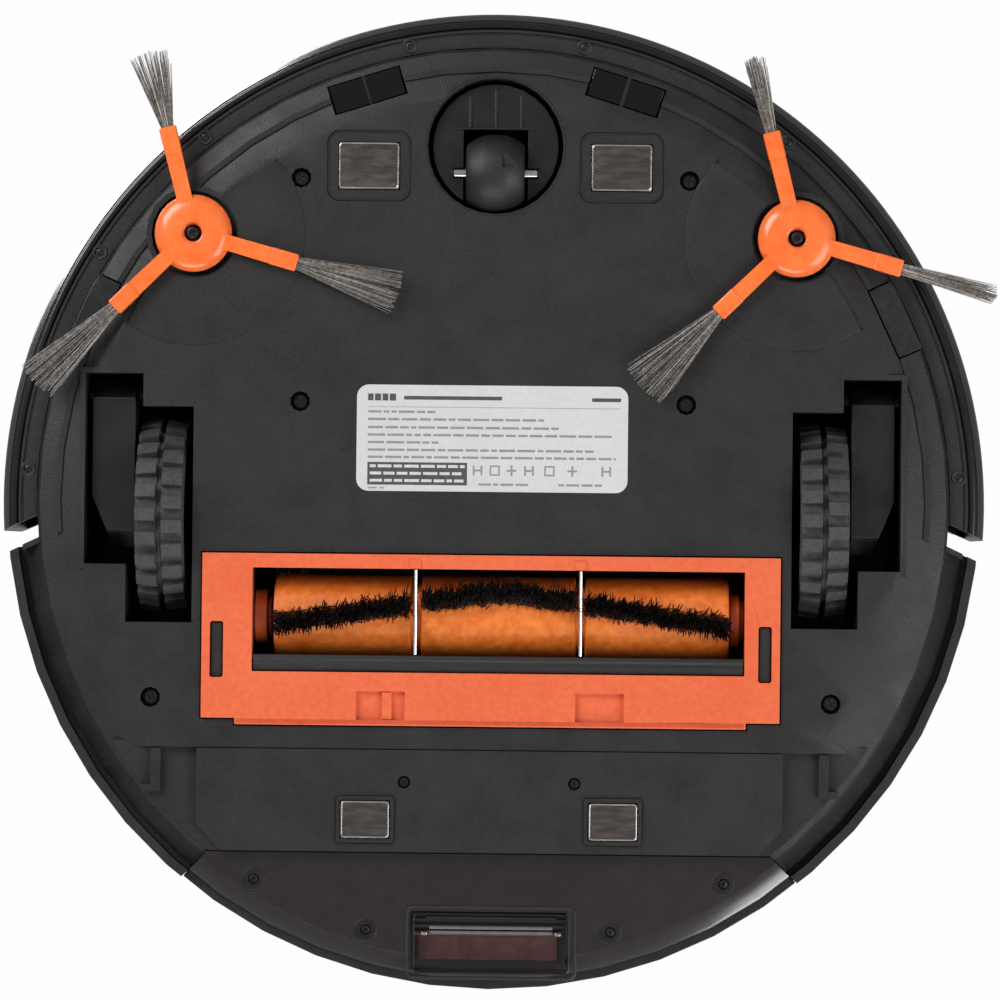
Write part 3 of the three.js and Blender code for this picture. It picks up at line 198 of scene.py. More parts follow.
def make_materials():
    m = {}
    # ABS with a spark-eroded grain: matt, dark grey in raking light, slightly mottled. Grain drawn at 0.5 mm.
    m["black_abs"] = grained("spark_eroded_black_abs", "#131313", "#1d1d1d", 0.52, 0.5, 0.6, specular=0.42)
    # The same ABS in its inner pockets, smoother from the mould, and darker as painted shade of the pockets.
    m["black_part"] = grained("moulded_black_abs_painted_shade", "#090909", "#0f0f0f", 0.45, 0.7, 0.3, specular=0.4)
    # Polished ABS on the bumper's band and the top: a soft gloss with faint waviness.
    m["gloss_abs"] = grained("polished_black_abs", "#0d0d0e", "#131314", 0.2, 2.5, 0.08, rough_swing=0.03)
    # Orange ABS, satin: even colour, a slightly paler bloom in places.
    m["orange_abs"] = grained("satin_orange_abs", "#d65c36", "#de6940", 0.38, 0.6, 0.12, blotch_mm=30, rough_swing=0.05)
    # Polished orange ABS for the side-brush hubs.
    m["orange_gloss"] = grained("polished_orange_abs", "#ec682b", "#f4783a", 0.22, 1.2, 0.05, blotch_mm=20,
                                rough_swing=0.03)
    # Silicone-like rubber of the roller: deeper orange, softly shining, lightly scuffed.
    m["orange_rubber"] = grained("orange_thermoplastic_rubber", "#d0601c", "#e9822f", 0.42, 0.9, 0.35, blotch_mm=9)
    # Nylon filaments, grey brown, each a little lighter or darker.
    m["grey_nylon"] = grained("grey_nylon_filament", "#4e4843", "#8d857f", 0.5, 0.4, 0.2, blotch_mm=2.2)
    m["black_nylon"] = grained("black_nylon_filament", "#0b0709", "#1d1214", 0.6, 0.3, 0.4, blotch_mm=2.0)
    # Tyre rubber: matt, lighter and darker in small blotches.
    m["tyre_rubber"] = grained("dusty_tyre_rubber", "#2d2d2d", "#404040", 0.7, 0.5, 0.6, blotch_mm=5)
    # Nylon strands among the grey ones, coloured paler as a painted highlight where they catch the light.
    m["pale_nylon"] = grained("pale_nylon_filament", "#8f8983", "#b5afa9", 0.42, 0.4, 0.2, blotch_mm=2.2)
    # The folded edge of a charging plate: steel much brighter than the plate's face, a painted highlight for a thin
    # line of light. The flap's pin ends take it too.
    m["rim_steel"] = brushed("bright_steel_painted_highlight", "#dcdad7", "#e6e4e1", 0.22, 1.5, (0.3, 1.0, 1.0))
    # Painted shade: near-black standing for the unlit bottom of a moulded groove, where almost no light comes back.
    m["shadow"] = grained("painted_groove_shadow", "#040404", "#070707", 0.8, 0.8, 0.1)
    # The cover's rear step, which lies in its own shade: deeper orange, a painted shade.
    m["orange_dark"] = grained("shaded_orange_abs", "#b8401b", "#c64c24", 0.5, 0.6, 0.12, blotch_mm=30)
    # Smooth black rubber of the scraper lip, the caster wheel and the belt: dull, with a broad soft sheen.
    m["dark_rubber"] = grained("smooth_black_rubber", "#0c0c0c", "#161616", 0.55, 0.8, 0.25)
    # Smoky polycarbonate of the bin: brownish and glossy. It is opaque, so nothing shows through it.
    m["smoky"] = grained("smoky_brown_polycarbonate", "#1f1a1a", "#262021", 0.22, 2.0, 0.04, blotch_mm=40,
                         ior=1.58, rough_swing=0.04)
    # Brushed stainless steel of the charging plates: soft grey lines along X, drawn at 1.6 mm to show.
    m["steel"] = brushed("brushed_stainless_steel", "#716a67", "#7d7572", 0.3, 1.6, (0.25, 1.0, 1.0))
    # Bright steel of pins and wires. The rims of the charging plates take the brighter steel of painted highlight
    # above.
    m["bright_steel"] = brushed("drawn_steel_wire", "#cfcdca", "#dad8d5", 0.25, 1.5, (0.2, 1.0, 1.0))
    # Black-zinc screws: dark, with a dull metal shine on their edges.
    m["screw"] = brushed("black_zinc_screw", "#39393b", "#4a4a4d", 0.36, 0.5, (1.0, 1.0, 1.0))
    # Polyester label film, off white, with a faint print grain.
    m["label"] = grained("white_label_film", "#bfbfbe", "#c6c6c5", 0.5, 0.6, 0.05, blotch_mm=25)
    m["ink_dark"] = grained("dark_label_ink", "#3a3a3c", "#48484a", 0.6, 0.6, 0.05, blotch_mm=6)
    m["ink_grey"] = grained("grey_label_ink", "#7b7b7d", "#8b8b8d", 0.6, 0.6, 0.05, blotch_mm=6)
    m["ink_light"] = grained("pale_label_ink", "#b9b9b8", "#c8c8c7", 0.6, 0.6, 0.05, blotch_mm=6)
    # Infra-red acrylic of the front cliff sensors, nearly black and glassy, and the side ones' frosted grey.
    m["lens"] = grained("infrared_black_acrylic", "#040405", "#070608", 0.15, 3.0, 0.03, ior=1.49, rough_swing=0.02)
    m["grey_lens"] = grained("frosted_grey_acrylic", "#1d1d1f", "#29292b", 0.3, 1.0, 0.1, ior=1.49)
    # Pieces inside the robot: shrink wrap, printed circuit board and pleated filter paper.
    m["wrap"] = grained("blue_battery_wrap", "#1c3a66", "#24497d", 0.35, 2.0, 0.15, blotch_mm=12)
    m["board"] = grained("green_glass_epoxy_board", "#123b22", "#1b4f2f", 0.4, 1.2, 0.3, blotch_mm=6)
    m["paper"] = grained("pleated_filter_paper", "#cfcabd", "#ddd9ce", 0.9, 0.8, 0.4, blotch_mm=8)
    # The port's louvre bars: satin, coloured light grey as a painted highlight along each.
    m["port_bar"] = grained("port_bar_painted_highlight", "#5d5859", "#6b6566", 0.2, 0.9, 0.1, blotch_mm=20)
    # The port's flap: red-brown sealing rubber behind smoky plastic.
    m["red_lip"] = grained("red_brown_sealing_rubber", "#321716", "#42201e", 0.42, 0.8, 0.3, blotch_mm=8)
    return m


# ---------------------------------------------------------------- shaping

def clear_selection():
    bpy.ops.object.select_all(action="DESELECT")


def pick(obj):
    clear_selection()
    obj.select_set(True)
    bpy.context.view_layer.objects.active = obj


def settle(obj):
    """Puts the object's place, turn and size into its mesh."""
    pick(obj)
    bpy.ops.object.transform_apply(location=True, rotation=True, scale=True)


def own(obj, name, material, body, stands_for=(), smooth=30):
    """Names a finished piece, gives it its finish and hangs it on its body."""
    settle(obj)
    obj.name = name
    obj.data.name = name
    if smooth:
        bpy.ops.object.shade_smooth_by_angle(angle=math.radians(smooth))
        flats = obj.modifiers.new("flat_faces", "WEIGHTED_NORMAL")
        flats.keep_sharp = True
        flats.weight = 80
        apply_modifiers(obj)
    obj.data.materials.clear()
    obj.data.materials.append(material)
    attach(obj, body)
    if stands_for:
        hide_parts(*stands_for)
    return obj


def apply_modifiers(obj):
    pick(obj)
    for modifier in list(obj.modifiers):
        bpy.ops.object.modifier_apply(modifier=modifier.name)


def soften(obj, width, angle=32, segments=2, clamp=True):
    """Rounds every edge sharper than the angle."""
    bevel = obj.modifiers.new("edge_rounding", "BEVEL")
    bevel.width = width * MM
    bevel.segments = segments
    bevel.limit_method = "ANGLE"
    bevel.angle_limit = math.radians(angle)
    bevel.use_clamp_overlap = clamp
    bevel.harden_normals = False
    apply_modifiers(obj)


def refined(node, material, rounding=0.35, segments=2, angle=32, clamp=True, smooth=30, flat=0.8):
    """A CAD piece with its facets merged and its edges rounded, in its own finish."""
    source = frame["nodes"][node]
    piece = bpy.data.objects.new(node + "_finished", source.data.copy())
    scene.collection.objects.link(piece)
    pick(piece)
    bpy.ops.object.mode_set(mode="EDIT")
    bpy.ops.mesh.select_all(action="SELECT")
    bpy.ops.mesh.remove_doubles(threshold=0.000006)
    if flat:
        bpy.ops.mesh.dissolve_limited(angle_limit=math.radians(flat))
    bpy.ops.object.mode_set(mode="OBJECT")
    if rounding:
        soften(piece, rounding, angle, segments, clamp)
    return own(piece, node + "_finished", material, BODY_OF[node], (node,), smooth)


def start_ring(radius, x, y, z, sides, axis="Z"):
    clear_selection()
    turn = {"Z": (0, 0, 0), "X": (0, math.pi / 2, 0), "Y": (math.pi / 2, 0, 0)}[axis]
    bpy.ops.mesh.primitive_circle_add(vertices=sides, radius=radius * MM, fill_type="NOTHING",
                                      location=mm(x, y, z), rotation=turn)
    return bpy.context.object


def turned(profile, x=0, y=0, sides=96, axis="Z", z=0, closed=True):
    """A round piece grown ring by ring: each (radius, height) of the profile is one extruded ring.
    A closed profile comes back to its start. An open one is capped at both ends."""
    centre = Vector(mm(x, y, z))
    along = {"Z": Vector((0, 0, 1)), "X": Vector((1, 0, 0)), "Y": Vector((0, 1, 0))}[axis]
    first_r, first_h = profile[0]
    begin = centre + along * first_h * MM
    obj = start_ring(first_r, begin.x / MM, begin.y / MM, begin.z / MM, sides, axis)
    bpy.ops.object.mode_set(mode="EDIT")
    bpy.ops.mesh.select_all(action="SELECT")
    r, h = profile[0]
    for next_r, next_h in profile[1:]:
        bpy.ops.mesh.extrude_edges_move(TRANSFORM_OT_translate={"value": tuple(along * (next_h - h) * MM)})
        ratio = next_r / r
        if abs(ratio - 1) > 1e-6:
            scale = tuple(1 if along[i] else ratio for i in range(3))
            bpy.ops.transform.resize(value=scale, center_override=tuple(centre + along * next_h * MM))
        r, h = next_r, next_h
    bpy.ops.mesh.select_all(action="DESELECT")
    bpy.ops.mesh.select_mode(type="EDGE")
    bpy.ops.mesh.select_non_manifold(extend=False, use_wire=False, use_boundary=True, use_multi_face=False,
                                     use_non_contiguous=False, use_verts=False)
    if closed:
        bpy.ops.mesh.bridge_edge_loops()
    else:
        bpy.ops.mesh.edge_face_add()
    bpy.ops.mesh.select_mode(type="VERT")
    bpy.ops.mesh.select_all(action="SELECT")
    bpy.ops.mesh.normals_make_consistent(inside=False)
    bpy.ops.object.mode_set(mode="OBJECT")
    return obj


def block(x0, x1, y0, y1, z0, z1):
    """A cube at its size and place, in millimetres, to be shaped further."""
    clear_selection()
    bpy.ops.mesh.primitive_cube_add(size=1, location=mm((x0 + x1) / 2, (y0 + y1) / 2, (z0 + z1) / 2),
                                    scale=mm(x1 - x0, y1 - y0, z1 - z0))
    obj = bpy.context.object
    settle(obj)
    return obj


def joined(parts):
    clear_selection()
    for part in parts:
        part.select_set(True)
    bpy.context.view_layer.objects.active = parts[0]
    if len(parts) > 1:
        bpy.ops.object.join()
    return bpy.context.object


def twin(obj, name):
    copy = obj.copy()
    copy.data = obj.data.copy()
    copy.name = name
    scene.collection.objects.link(copy)
    return copy


def mirror_x(obj):
    """Turns the piece into its mirror image across the middle, faces outward again."""
    pick(obj)
    obj.scale.x = -1
    settle(obj)
    bpy.ops.object.mode_set(mode="EDIT")
    bpy.ops.mesh.select_all(action="SELECT")
    bpy.ops.mesh.normals_make_consistent(inside=False)
    bpy.ops.object.mode_set(mode="OBJECT")
    return obj


def move(obj, x, y, z, turn=0):
    obj.location = mm(x, y, z)
    obj.rotation_euler.z = math.radians(turn)
    settle(obj)
    return obj


# ---------------------------------------------------------------- the robot's pieces

# Sizes in millimetres, the same as the CAD's.
BUMPER_RADIUS = 165
NOTCH = (154.5, 6.0)          # where the bumper ends, on the line across each side notch
NOTCH_SLOPE = math.tan(math.radians(25))
UNDERSIDE = 9.0
BRUSH_HUBS = {"left": (-100.4, -89.0), "right": (100.4, -89.0)}
ARM_START = 15.8
ARM_LENGTH = 36.0
TUFTS = {"left": ((72, 13.8), (73, 12.9), (62, 12)), "right": ((69, 6), (72, 16), (62, 7))}
WHEEL = {"x": 110.6, "y": 4.8, "radius": 33.0, "width": 16.2, "rim": 25.5}
ROLLER = {"y": 38.4, "z": 26.0, "core": 14.0, "bristle": 19.5, "left": -72.7, "right": 79.5}
WIRES = (-25.1, 29.8)
BUMPER_SCREWS = ((-29.3, -153.2), (29.3, -153.2), (-97.7, -122.0), (97.7, -122.0),
                 (-132.6, -83.0), (132.6, -83.0), (-155.8, -10.2), (155.8, -10.2))


def keep_inner_pieces(m):
    """Pieces inside the robot keep their CAD shape and take their own finish."""
    finishes = {
        "wheel_housing_left": "black_part", "wheel_housing_right": "black_part",
        "brush_housing": "black_part",
        "bin_bay": "black_part", "lidar_base": "black_part", "lidar_belt": "dark_rubber",
        "lidar_pulley": "bright_steel",
        "side_gearbox_left": "black_part", "side_gearbox_right": "black_part", "battery_pack": "wrap",
        "main_board": "board", "blower_housing": "black_part", "impeller": "black_part", "bin_filter": "paper",
    }
    for node, finish in finishes.items():
        obj = frame["nodes"][node]
        obj.data.materials.clear()
        obj.data.materials.append(m[finish])


def round_the_edges(m):
    """The moulded parts whose CAD shape is right: their edges are rounded as a mould leaves them."""
    for node, finish, rounding in (
        ("top_shell", "black_abs", 0.5), ("top_panel", "gloss_abs", 0.3),
        ("turret_cap", "gloss_abs", 0.5), ("lidar_rotor", "black_part", 0.4),
        ("cliff_window_front_left", "lens", 0.3), ("cliff_window_front_right", "lens", 0.3),
        ("cliff_window_side_left", "grey_lens", 0.3), ("cliff_window_side_right", "grey_lens", 0.3),
        ("front_contact_left", "steel", 0.3), ("front_contact_right", "steel", 0.3),
        ("rear_contact_left", "steel", 0.3), ("rear_contact_right", "steel", 0.3),
        ("wheel_arm_left", "black_part", 0.5), ("wheel_arm_right", "black_part", 0.5),
        ("wheel_rim_left", "black_part", 0.4), ("wheel_rim_right", "black_part", 0.4),
        ("side_brush_left", "orange_gloss", 0.45), ("side_brush_right", "orange_gloss", 0.45),
        ("caster_fork", "black_part", 0.4), 
        ("guard_wire_left", "bright_steel", 0), ("guard_wire_right", "bright_steel", 0),
        ("scraper_lip", "dark_rubber", 0.3), ("rear_plate", "black_abs", 0.4),
        ("bin_base", "smoky", 0.4), ("bin_cover", "black_abs", 0.5), ("bin_flap", "red_lip", 0.2),
        ("bin_latch", "gloss_abs", 0.4), ("power_button", "gloss_abs", 0.3), ("home_button", "gloss_abs", 0.3),
    ):
        refined(node, m[finish], rounding)
    refined("brush_cover", m["orange_abs"], 0.4, flat=0)
    refined("chassis", m["black_abs"], 0.3, flat=0)


def front_band(profile, sides=200):
    """A spun band cut off at the two side notches, made as a right half and its mirror image."""
    half = turned(profile, sides=sides)
    pick(half)
    bpy.ops.object.mode_set(mode="EDIT")
    bpy.ops.mesh.select_all(action="SELECT")
    bpy.ops.mesh.bisect(plane_co=(0, 0, 0), plane_no=(1, 0, 0), clear_inner=True)
    bpy.ops.mesh.select_all(action="SELECT")
    bpy.ops.mesh.bisect(plane_co=mm(NOTCH[0], NOTCH[1], 0), plane_no=(-NOTCH_SLOPE, 1, 0), clear_outer=True,
                        use_fill=True)
    bpy.ops.object.mode_set(mode="OBJECT")
    other = mirror_x(twin(half, "other_half"))
    whole = joined([half, other])
    pick(whole)
    bpy.ops.object.mode_set(mode="EDIT")
    bpy.ops.mesh.select_all(action="SELECT")
    bpy.ops.mesh.remove_doubles(threshold=0.00001)
    bpy.ops.mesh.normals_make_consistent(inside=False)
    bpy.ops.object.mode_set(mode="OBJECT")
    return whole


def bumper(m):
    """The sprung bumper: a polished band with two fine grooves underneath, and its trim ring inside it."""
    r = BUMPER_RADIUS
    band = front_band([
        (r - 4.2, 17.0), (r - 3.7, 17.25), (r - 3.45, 17.6), (r - 3.1, 18.4), (r - 2.75, 18.35), (r - 2.3, 19.2),
        (r - 0.9, 21.6), (r - 0.25, 23.3), (r, 25.2), (r, 60), (r, 68.7), (r - 0.4, 71.2), (r - 1.6, 72.6),
        (r - 3.2, 73.8), (r - 5, 74.2), (r - 13, 74.2), (r - 13, 72), (r - 5, 72), (r - 2.4, 68.2), (r - 2.4, 25),
        (r - 3.2, 22.2), (r - 12, 22.2), (r - 12, 19.8), (r - 5.6, 19.8), (r - 5.6, 17.3), (r - 5.3, 17.0)])
    own(band, "bumper_band", m["gloss_abs"], "bumper", ("bumper_shell",))
    outer = r - 5.9
    ring = front_band([
        (outer, 19.4), (outer, 17.7), (outer - 0.3, 17.4), (outer - 1.0, 17.4), (outer - 1.25, 17.9),
        (outer - 1.6, 17.9), (outer - 1.85, 17.4), (outer - 6.2, 17.4), (outer - 6.5, 17.7), (outer - 6.8, 17.4),
        (outer - 7.4, 17.4), (outer - 7.7, 17.7), (outer - 7.7, 19.4)])
    own(ring, "bumper_trim_ring", m["black_abs"], "bumper", ("bumper_trim",))


def screw_head(radius, m):
    """A pan-head screw seen from below, its cross recess cut with two bars."""
    r = radius
    head = turned([(r * 0.55, -0.0), (r * 0.82, 0.12), (r * 0.96, 0.4), (r, 0.9), (r, 1.7)], sides=28, closed=False)
    for turn in (0, 90):
        bar = block(-r * 0.52, r * 0.52, -r * 0.13, r * 0.13, -0.5, 0.75)
        bar.rotation_euler.z = math.radians(turn + 25)
        settle(bar)
        hollow = head.modifiers.new("recess", "BOOLEAN")
        hollow.operation = "DIFFERENCE"
        hollow.object = bar
        hollow.solver = "EXACT"
        apply_modifiers(head)
        bpy.data.objects.remove(bar)
    return head


def screws(m):
    """Every screw underneath: the head is modelled once for each size and copied."""
    def both(x, y):
        return (-x, y), (x, y)

    sets = (
        ("chassis_screw", 2.8, 11.2, "root", both(64.7, -108) + both(64.3, -33.4) + both(113.2, 65.6)),
        ("plate_screw", 1.8, 9.6, "root", both(28.3, 93)),
        ("bin_screw", 1.6, 12.8, "dust_bin", both(78.3, 125.9) + both(40.8, 142.4)),
        ("bumper_screw", 1.35, 17.15, "bumper", BUMPER_SCREWS),
        ("brush_screw", 2.0, 3.9, "sweeper_left", (BRUSH_HUBS["left"],)),
        ("brush_screw_right", 2.0, 3.9, "sweeper_right", (BRUSH_HUBS["right"],)),
    )
    for name, radius, z, body, places in sets:
        master = screw_head(radius, m)
        for number, (x, y) in enumerate(places, 1):
            copy = move(twin(master, name), x, y, z, turn=37 * number)
            own(copy, f"{name}_{number}", m["screw"], body)
        bpy.data.objects.remove(master)
    for number, (x, y) in enumerate(BUMPER_SCREWS, 1):
        boss = turned([(1.7, 17.2), (2.3, 17.1), (2.6, 17.3), (2.7, 17.9), (1.7, 17.9)], x=x, y=y, sides=28)
        own(boss, f"bumper_boss_{number}", m["black_abs"], "bumper")


def filament(thick):
    """One nylon filament, 1 m long along +X, thinning to its tip."""
    ring = start_ring(thick / MM, 0, 0, 0, 4, "X")
    bpy.ops.object.mode_set(mode="EDIT")
    bpy.ops.mesh.select_all(action="SELECT")
    for step, shrink in ((0.5, 0.95), (0.5, 0.6)):
        bpy.ops.mesh.extrude_edges_move(TRANSFORM_OT_translate={"value": (step, 0, 0)})
        bpy.ops.transform.resize(value=(1, shrink, shrink))
    bpy.ops.mesh.select_all(action="SELECT")
    bpy.ops.mesh.normals_make_consistent(inside=False)
    bpy.ops.object.mode_set(mode="OBJECT")
    settle(ring)
    return ring


def tufts(m):
    """The side brushes' tufts: straight filaments that fan out from each arm's end."""
    dice = random.Random(7)
    strand = filament(0.13 * MM)
    pale = [m["grey_nylon"], m["pale_nylon"]]
    for side, arms in TUFTS.items():
        hub_x, hub_y = BRUSH_HUBS[side]
        for number, (reach, spread) in enumerate(arms, 1):
            along = math.radians(ARM_START + 120 * (number - 1))
            out = Vector((math.cos(along), math.sin(along), 0))
            across = Vector((-math.sin(along), math.cos(along), 0))
            hub = Vector((hub_x, hub_y, 0))
            for shade, count in ((0, 74), (1, 22)):
                copies = []
                for _ in range(count):
                    share = dice.uniform(-1, 1)
                    root = (hub + out * (ARM_LENGTH - 1.5) + across * share * 1.7
                            + Vector((0, 0, 5.9 + dice.uniform(-0.7, 0.7))))
                    length = reach - ARM_LENGTH - dice.random() ** 3 * 7 - abs(share) * 1.2
                    tip = (hub + out * (ARM_LENGTH + length)
                           + across * (share * spread * 0.5 + dice.gauss(0, spread * 0.05)))
                    tip.z = 4.2 + dice.uniform(-1.3, 1.0)
                    copy = twin(strand, "strand")
                    run = tip - root
                    turn = run.to_track_quat("X", "Z").to_matrix().to_4x4()
                    copy.matrix_world = (Matrix.Translation(root * MM) @ turn
                                         @ Matrix.Diagonal((run.length * MM, 1, 1, 1)))
                    copies.append(copy)
                # The second bundle of each tuft is the paler strands, a painted highlight.
                bundle = joined(copies)
                stands = (f"tuft_{side}_{number}",) if shade == 0 else ()
                own(bundle, f"tuft_{side}_{number}_{'fine' if shade == 0 else 'pale'}", pale[shade], f"sweeper_{side}",
                    stands, smooth=50)
    bpy.data.objects.remove(strand)


def arm_sleeves(m):
    """The crimped sleeve at the end of each brush arm, with the line where the arm enters it."""
    for side in ("left", "right"):
        hub_x, hub_y = BRUSH_HUBS[side]
        sleeves = []
        for number in range(3):
            sleeve = block(ARM_LENGTH - 9, ARM_LENGTH + 0.25, -2.9, 2.9, 4.45, 7.4)
            soften(sleeve, 0.6, segments=3)
            sleeves.append(move(sleeve, hub_x, hub_y, 0, ARM_START + 120 * number))
        own(joined(sleeves), f"arm_sleeves_{side}", m["orange_gloss"], f"sweeper_{side}")
        dome = turned([(3.6, 4.35), (5.2, 4.0), (7.5, 3.95), (9.6, 4.3), (11.4, 5.1), (12.6, 6.4), (12.9, 7.6),
                       (3.6, 7.6)], x=hub_x, y=hub_y, sides=72)
        own(dome, f"hub_dome_{side}", m["orange_gloss"], f"sweeper_{side}")


def roller(m):
    """The roller's rubber barrel, with a groove under each guard wire."""
    r, left, right = ROLLER["core"], ROLLER["left"], ROLLER["right"]
    profile = [(4.0, left), (r - 1.2, left), (r - 0.3, left + 0.3), (r, left + 1.2)]
    for wire in WIRES:
        profile += [(r, wire - 2.0), (r - 0.4, wire - 1.7), (r - 2.6, wire - 1.4), (r - 2.6, wire + 1.4),
                    (r - 0.4, wire + 1.7), (r, wire + 2.0)]
    profile += [(r, right - 1.2), (r - 0.3, right - 0.3), (r - 1.2, right), (4.0, right)]
    barrel = turned(profile, y=ROLLER["y"], z=ROLLER["z"], sides=96, axis="X")
    own(barrel, "roller_barrel", m["orange_rubber"], "main_brush", ("roller_core",))
    beads = []
    for row in range(3):
        for edge in (-1, 1):
            x = left + 2
            while x < right - 2:
                if min(abs(x - wire) for wire in WIRES) > 2.8:
                    turn = math.radians(row_angle(x) + 120 * row + edge * 14.5)
                    bead = block(x - 1.15, x + 1.15, -0.8, 0.8, -r - 0.45, -r + 0.6)
                    bead.matrix_world = (Matrix.Translation(mm(0, ROLLER["y"], ROLLER["z"]))
                                         @ Matrix.Rotation(turn, 4, "X"))
                    beads.append(bead)
                x += 3.0
    scallops = joined(beads)
    settle(scallops)
    soften(scallops, 0.35)
    own(scallops, "roller_scallops", m["orange_rubber"], "main_brush")


def brush_dishes(m):
    """The shallow dish moulded round each side brush."""
    for side, (x, y) in BRUSH_HUBS.items():
        dish = turned([(14.6, 9.2), (14.7, 8.9), (16.5, 8.72), (25, 8.5), (32, 8.66), (36.4, 8.93), (37.4, 9.2)],
                      x=x, y=y, sides=120)
        trim_outside(dish, 135.5)
        own(dish, f"brush_dish_{side}", m["black_abs"], "root")


def trim_outside(obj, radius):
    """Cuts away whatever reaches past a radius from the robot's middle."""
    drum = turned([(radius, -10), (radius, 40)], sides=160, closed=False)
    inside = obj.modifiers.new("inside_the_rim", "BOOLEAN")
    inside.operation, inside.object, inside.solver = "INTERSECT", drum, "EXACT"
    apply_modifiers(obj)
    bpy.data.objects.remove(drum)


def row_angle(x):
    middle, half = (ROLLER["left"] + ROLLER["right"]) / 2, (ROLLER["right"] - ROLLER["left"]) / 2
    return -34 + 42 * min(1, abs(x - middle) / half)


def bristle_rows(m):
    """Three rows of black filaments that run round the roller in an arch, as short clumps set close together."""
    dice = random.Random(11)
    strand = filament(0.24 * MM)
    clumps = []
    for _ in range(4):
        copies = []
        for _ in range(20):
            copy = twin(strand, "strand")
            lean = math.radians(dice.gauss(0, 13))
            tilt = math.radians(dice.gauss(0, 9))
            root = Vector((dice.uniform(-0.8, 0.8), dice.uniform(-2.9, 2.9), -12.9)) * MM
            run = Vector((math.sin(tilt), math.sin(lean), -math.cos(lean)))
            length = dice.uniform(5.4, 7.0) * MM
            copy.matrix_world = (Matrix.Translation(root) @ run.to_track_quat("X", "Z").to_matrix().to_4x4()
                                 @ Matrix.Diagonal((length, 1, 1, 1)))
            copies.append(copy)
        clumps.append(joined(copies))
        settle(clumps[-1])
    for row in range(3):
        copies = []
        x = ROLLER["left"] + 0.5
        while x < ROLLER["right"] - 0.5:
            if min(abs(x - wire) for wire in WIRES) > 1.7:
                copy = twin(dice.choice(clumps), "clump")
                turn = math.radians(row_angle(x) + 120 * row + dice.gauss(0, 2))
                copy.matrix_world = Matrix.Translation(mm(x, ROLLER["y"], ROLLER["z"])) @ Matrix.Rotation(turn, 4, "X")
                copies.append(copy)
            x += 0.8
        own(joined(copies), f"bristle_strip_{row + 1}", m["black_nylon"], "main_brush",
            (f"bristle_row_{row + 1}",), smooth=50)
    for left_over in clumps + [strand]:
        bpy.data.objects.remove(left_over)


def tyres(m):
    """Tyres with two staggered columns of blocks round a shallow groove."""
    w = WHEEL["width"] / 2
    for side, sign in (("left", -1), ("right", 1)):
        x, r = sign * WHEEL["x"], WHEEL["radius"]
        casing = turned([(WHEEL["rim"] + 0.3, -w), (r - 4.4, -w), (r - 3.4, -w + 0.7), (r - 3.0, -w + 2.0),
                         (r - 2.9, -0.8), (r - 3.5, -0.5), (r - 3.5, 0.5), (r - 2.9, 0.8), (r - 3.0, w - 2.0),
                         (r - 3.4, w - 0.7), (r - 4.4, w), (WHEEL["rim"] + 0.3, w)],
                        x=x, y=WHEEL["y"], z=r, sides=100, axis="X")
        parts = [casing]
        for column, (x0, x1) in enumerate(((-w + 0.25, -1.0), (1.0, w - 0.25))):
            lug = block(x0, x1, -2.2, 2.2, -r + 0.05, -r + 4.0)
            outer_x = x0 if abs(x0) > abs(x1) else x1
            for vertex in lug.data.vertices:
                if abs(vertex.co.x - outer_x * MM) < 1e-5 and vertex.co.z < (-r + 1) * MM:
                    vertex.co.z += 1.1 * MM
            soften(lug, 0.25, segments=2)
            for step in range(25):
                copy = twin(lug, "lug")
                turn = math.radians(step * 14.4 + column * 7.2)
                copy.matrix_world = Matrix.Translation(mm(x, WHEEL["y"], r)) @ Matrix.Rotation(turn, 4, "X")
                parts.append(copy)
            bpy.data.objects.remove(lug)
        own(joined(parts), f"treaded_tyre_{side}", m["tyre_rubber"], f"drive_wheel_{side}", (f"tyre_{side}",))


def caster(m):
    """The barrel-shaped caster wheel on its steel axle, under a ribbed dome."""
    x, y, z, r, w = 0, -110.2, 13.0, 13.0, 9.75
    barrel = turned([(1.9, -w), (r - 4.2, -w), (r - 3.2, -w + 0.5), (r - 2.0, -w + 2.2), (r - 0.9, -w + 4.4),
                     (r - 0.2, -3.2), (r, 0), (r - 0.2, 3.2), (r - 0.9, w - 4.4), (r - 2.0, w - 2.2),
                     (r - 3.2, w - 0.5), (r - 4.2, w), (1.9, w)], x=x, y=y, z=z, sides=72, axis="X")
    slot = block(2.4, 9.2, y - 5.6, y - 1.2, -1.0, 1.6)
    hollow = barrel.modifiers.new("weight_slot", "BOOLEAN")
    hollow.operation, hollow.object, hollow.solver = "DIFFERENCE", slot, "EXACT"
    apply_modifiers(barrel)
    bpy.data.objects.remove(slot)
    own(barrel, "caster_barrel", m["dark_rubber"], "caster_roller", ("caster_wheel",))
    pin = turned([(0.2, -14.0), (1.4, -14.0), (1.58, -13.8), (1.58, 13.8), (1.4, 14.0), (0.2, 14.0)], x=x, y=y, z=z,
                 sides=24, axis="X", closed=False)
    own(pin, "caster_axle_pin", m["bright_steel"], "caster")
    ribs = []
    for rib_x, front in ((-8.6, -136.4), (0, -138.4), (8.4, -136.4)):
        rib = block(rib_x - 0.55, rib_x + 0.55, front, -125.3, 11.35, 12.6)
        for vertex in rib.data.vertices:
            if vertex.co.y < -0.13 and vertex.co.z < 0.012:
                vertex.co.z += 0.6 * MM
        soften(rib, 0.35)
        ribs.append(rib)
    lip = block(-12.8, 12.8, -125.3, -124.8, 11.45, 12.4)
    soften(lip, 0.15)
    own(joined(ribs + [lip]), "dome_ribs", m["black_abs"], "caster")
    rim = turned([(22.7, 9.2), (22.7, 8.75), (23.1, 8.7), (23.25, 8.95), (23.25, 9.2)], x=0, y=-119, sides=96)
    own(rim, "caster_pocket_rim", m["black_abs"], "root")


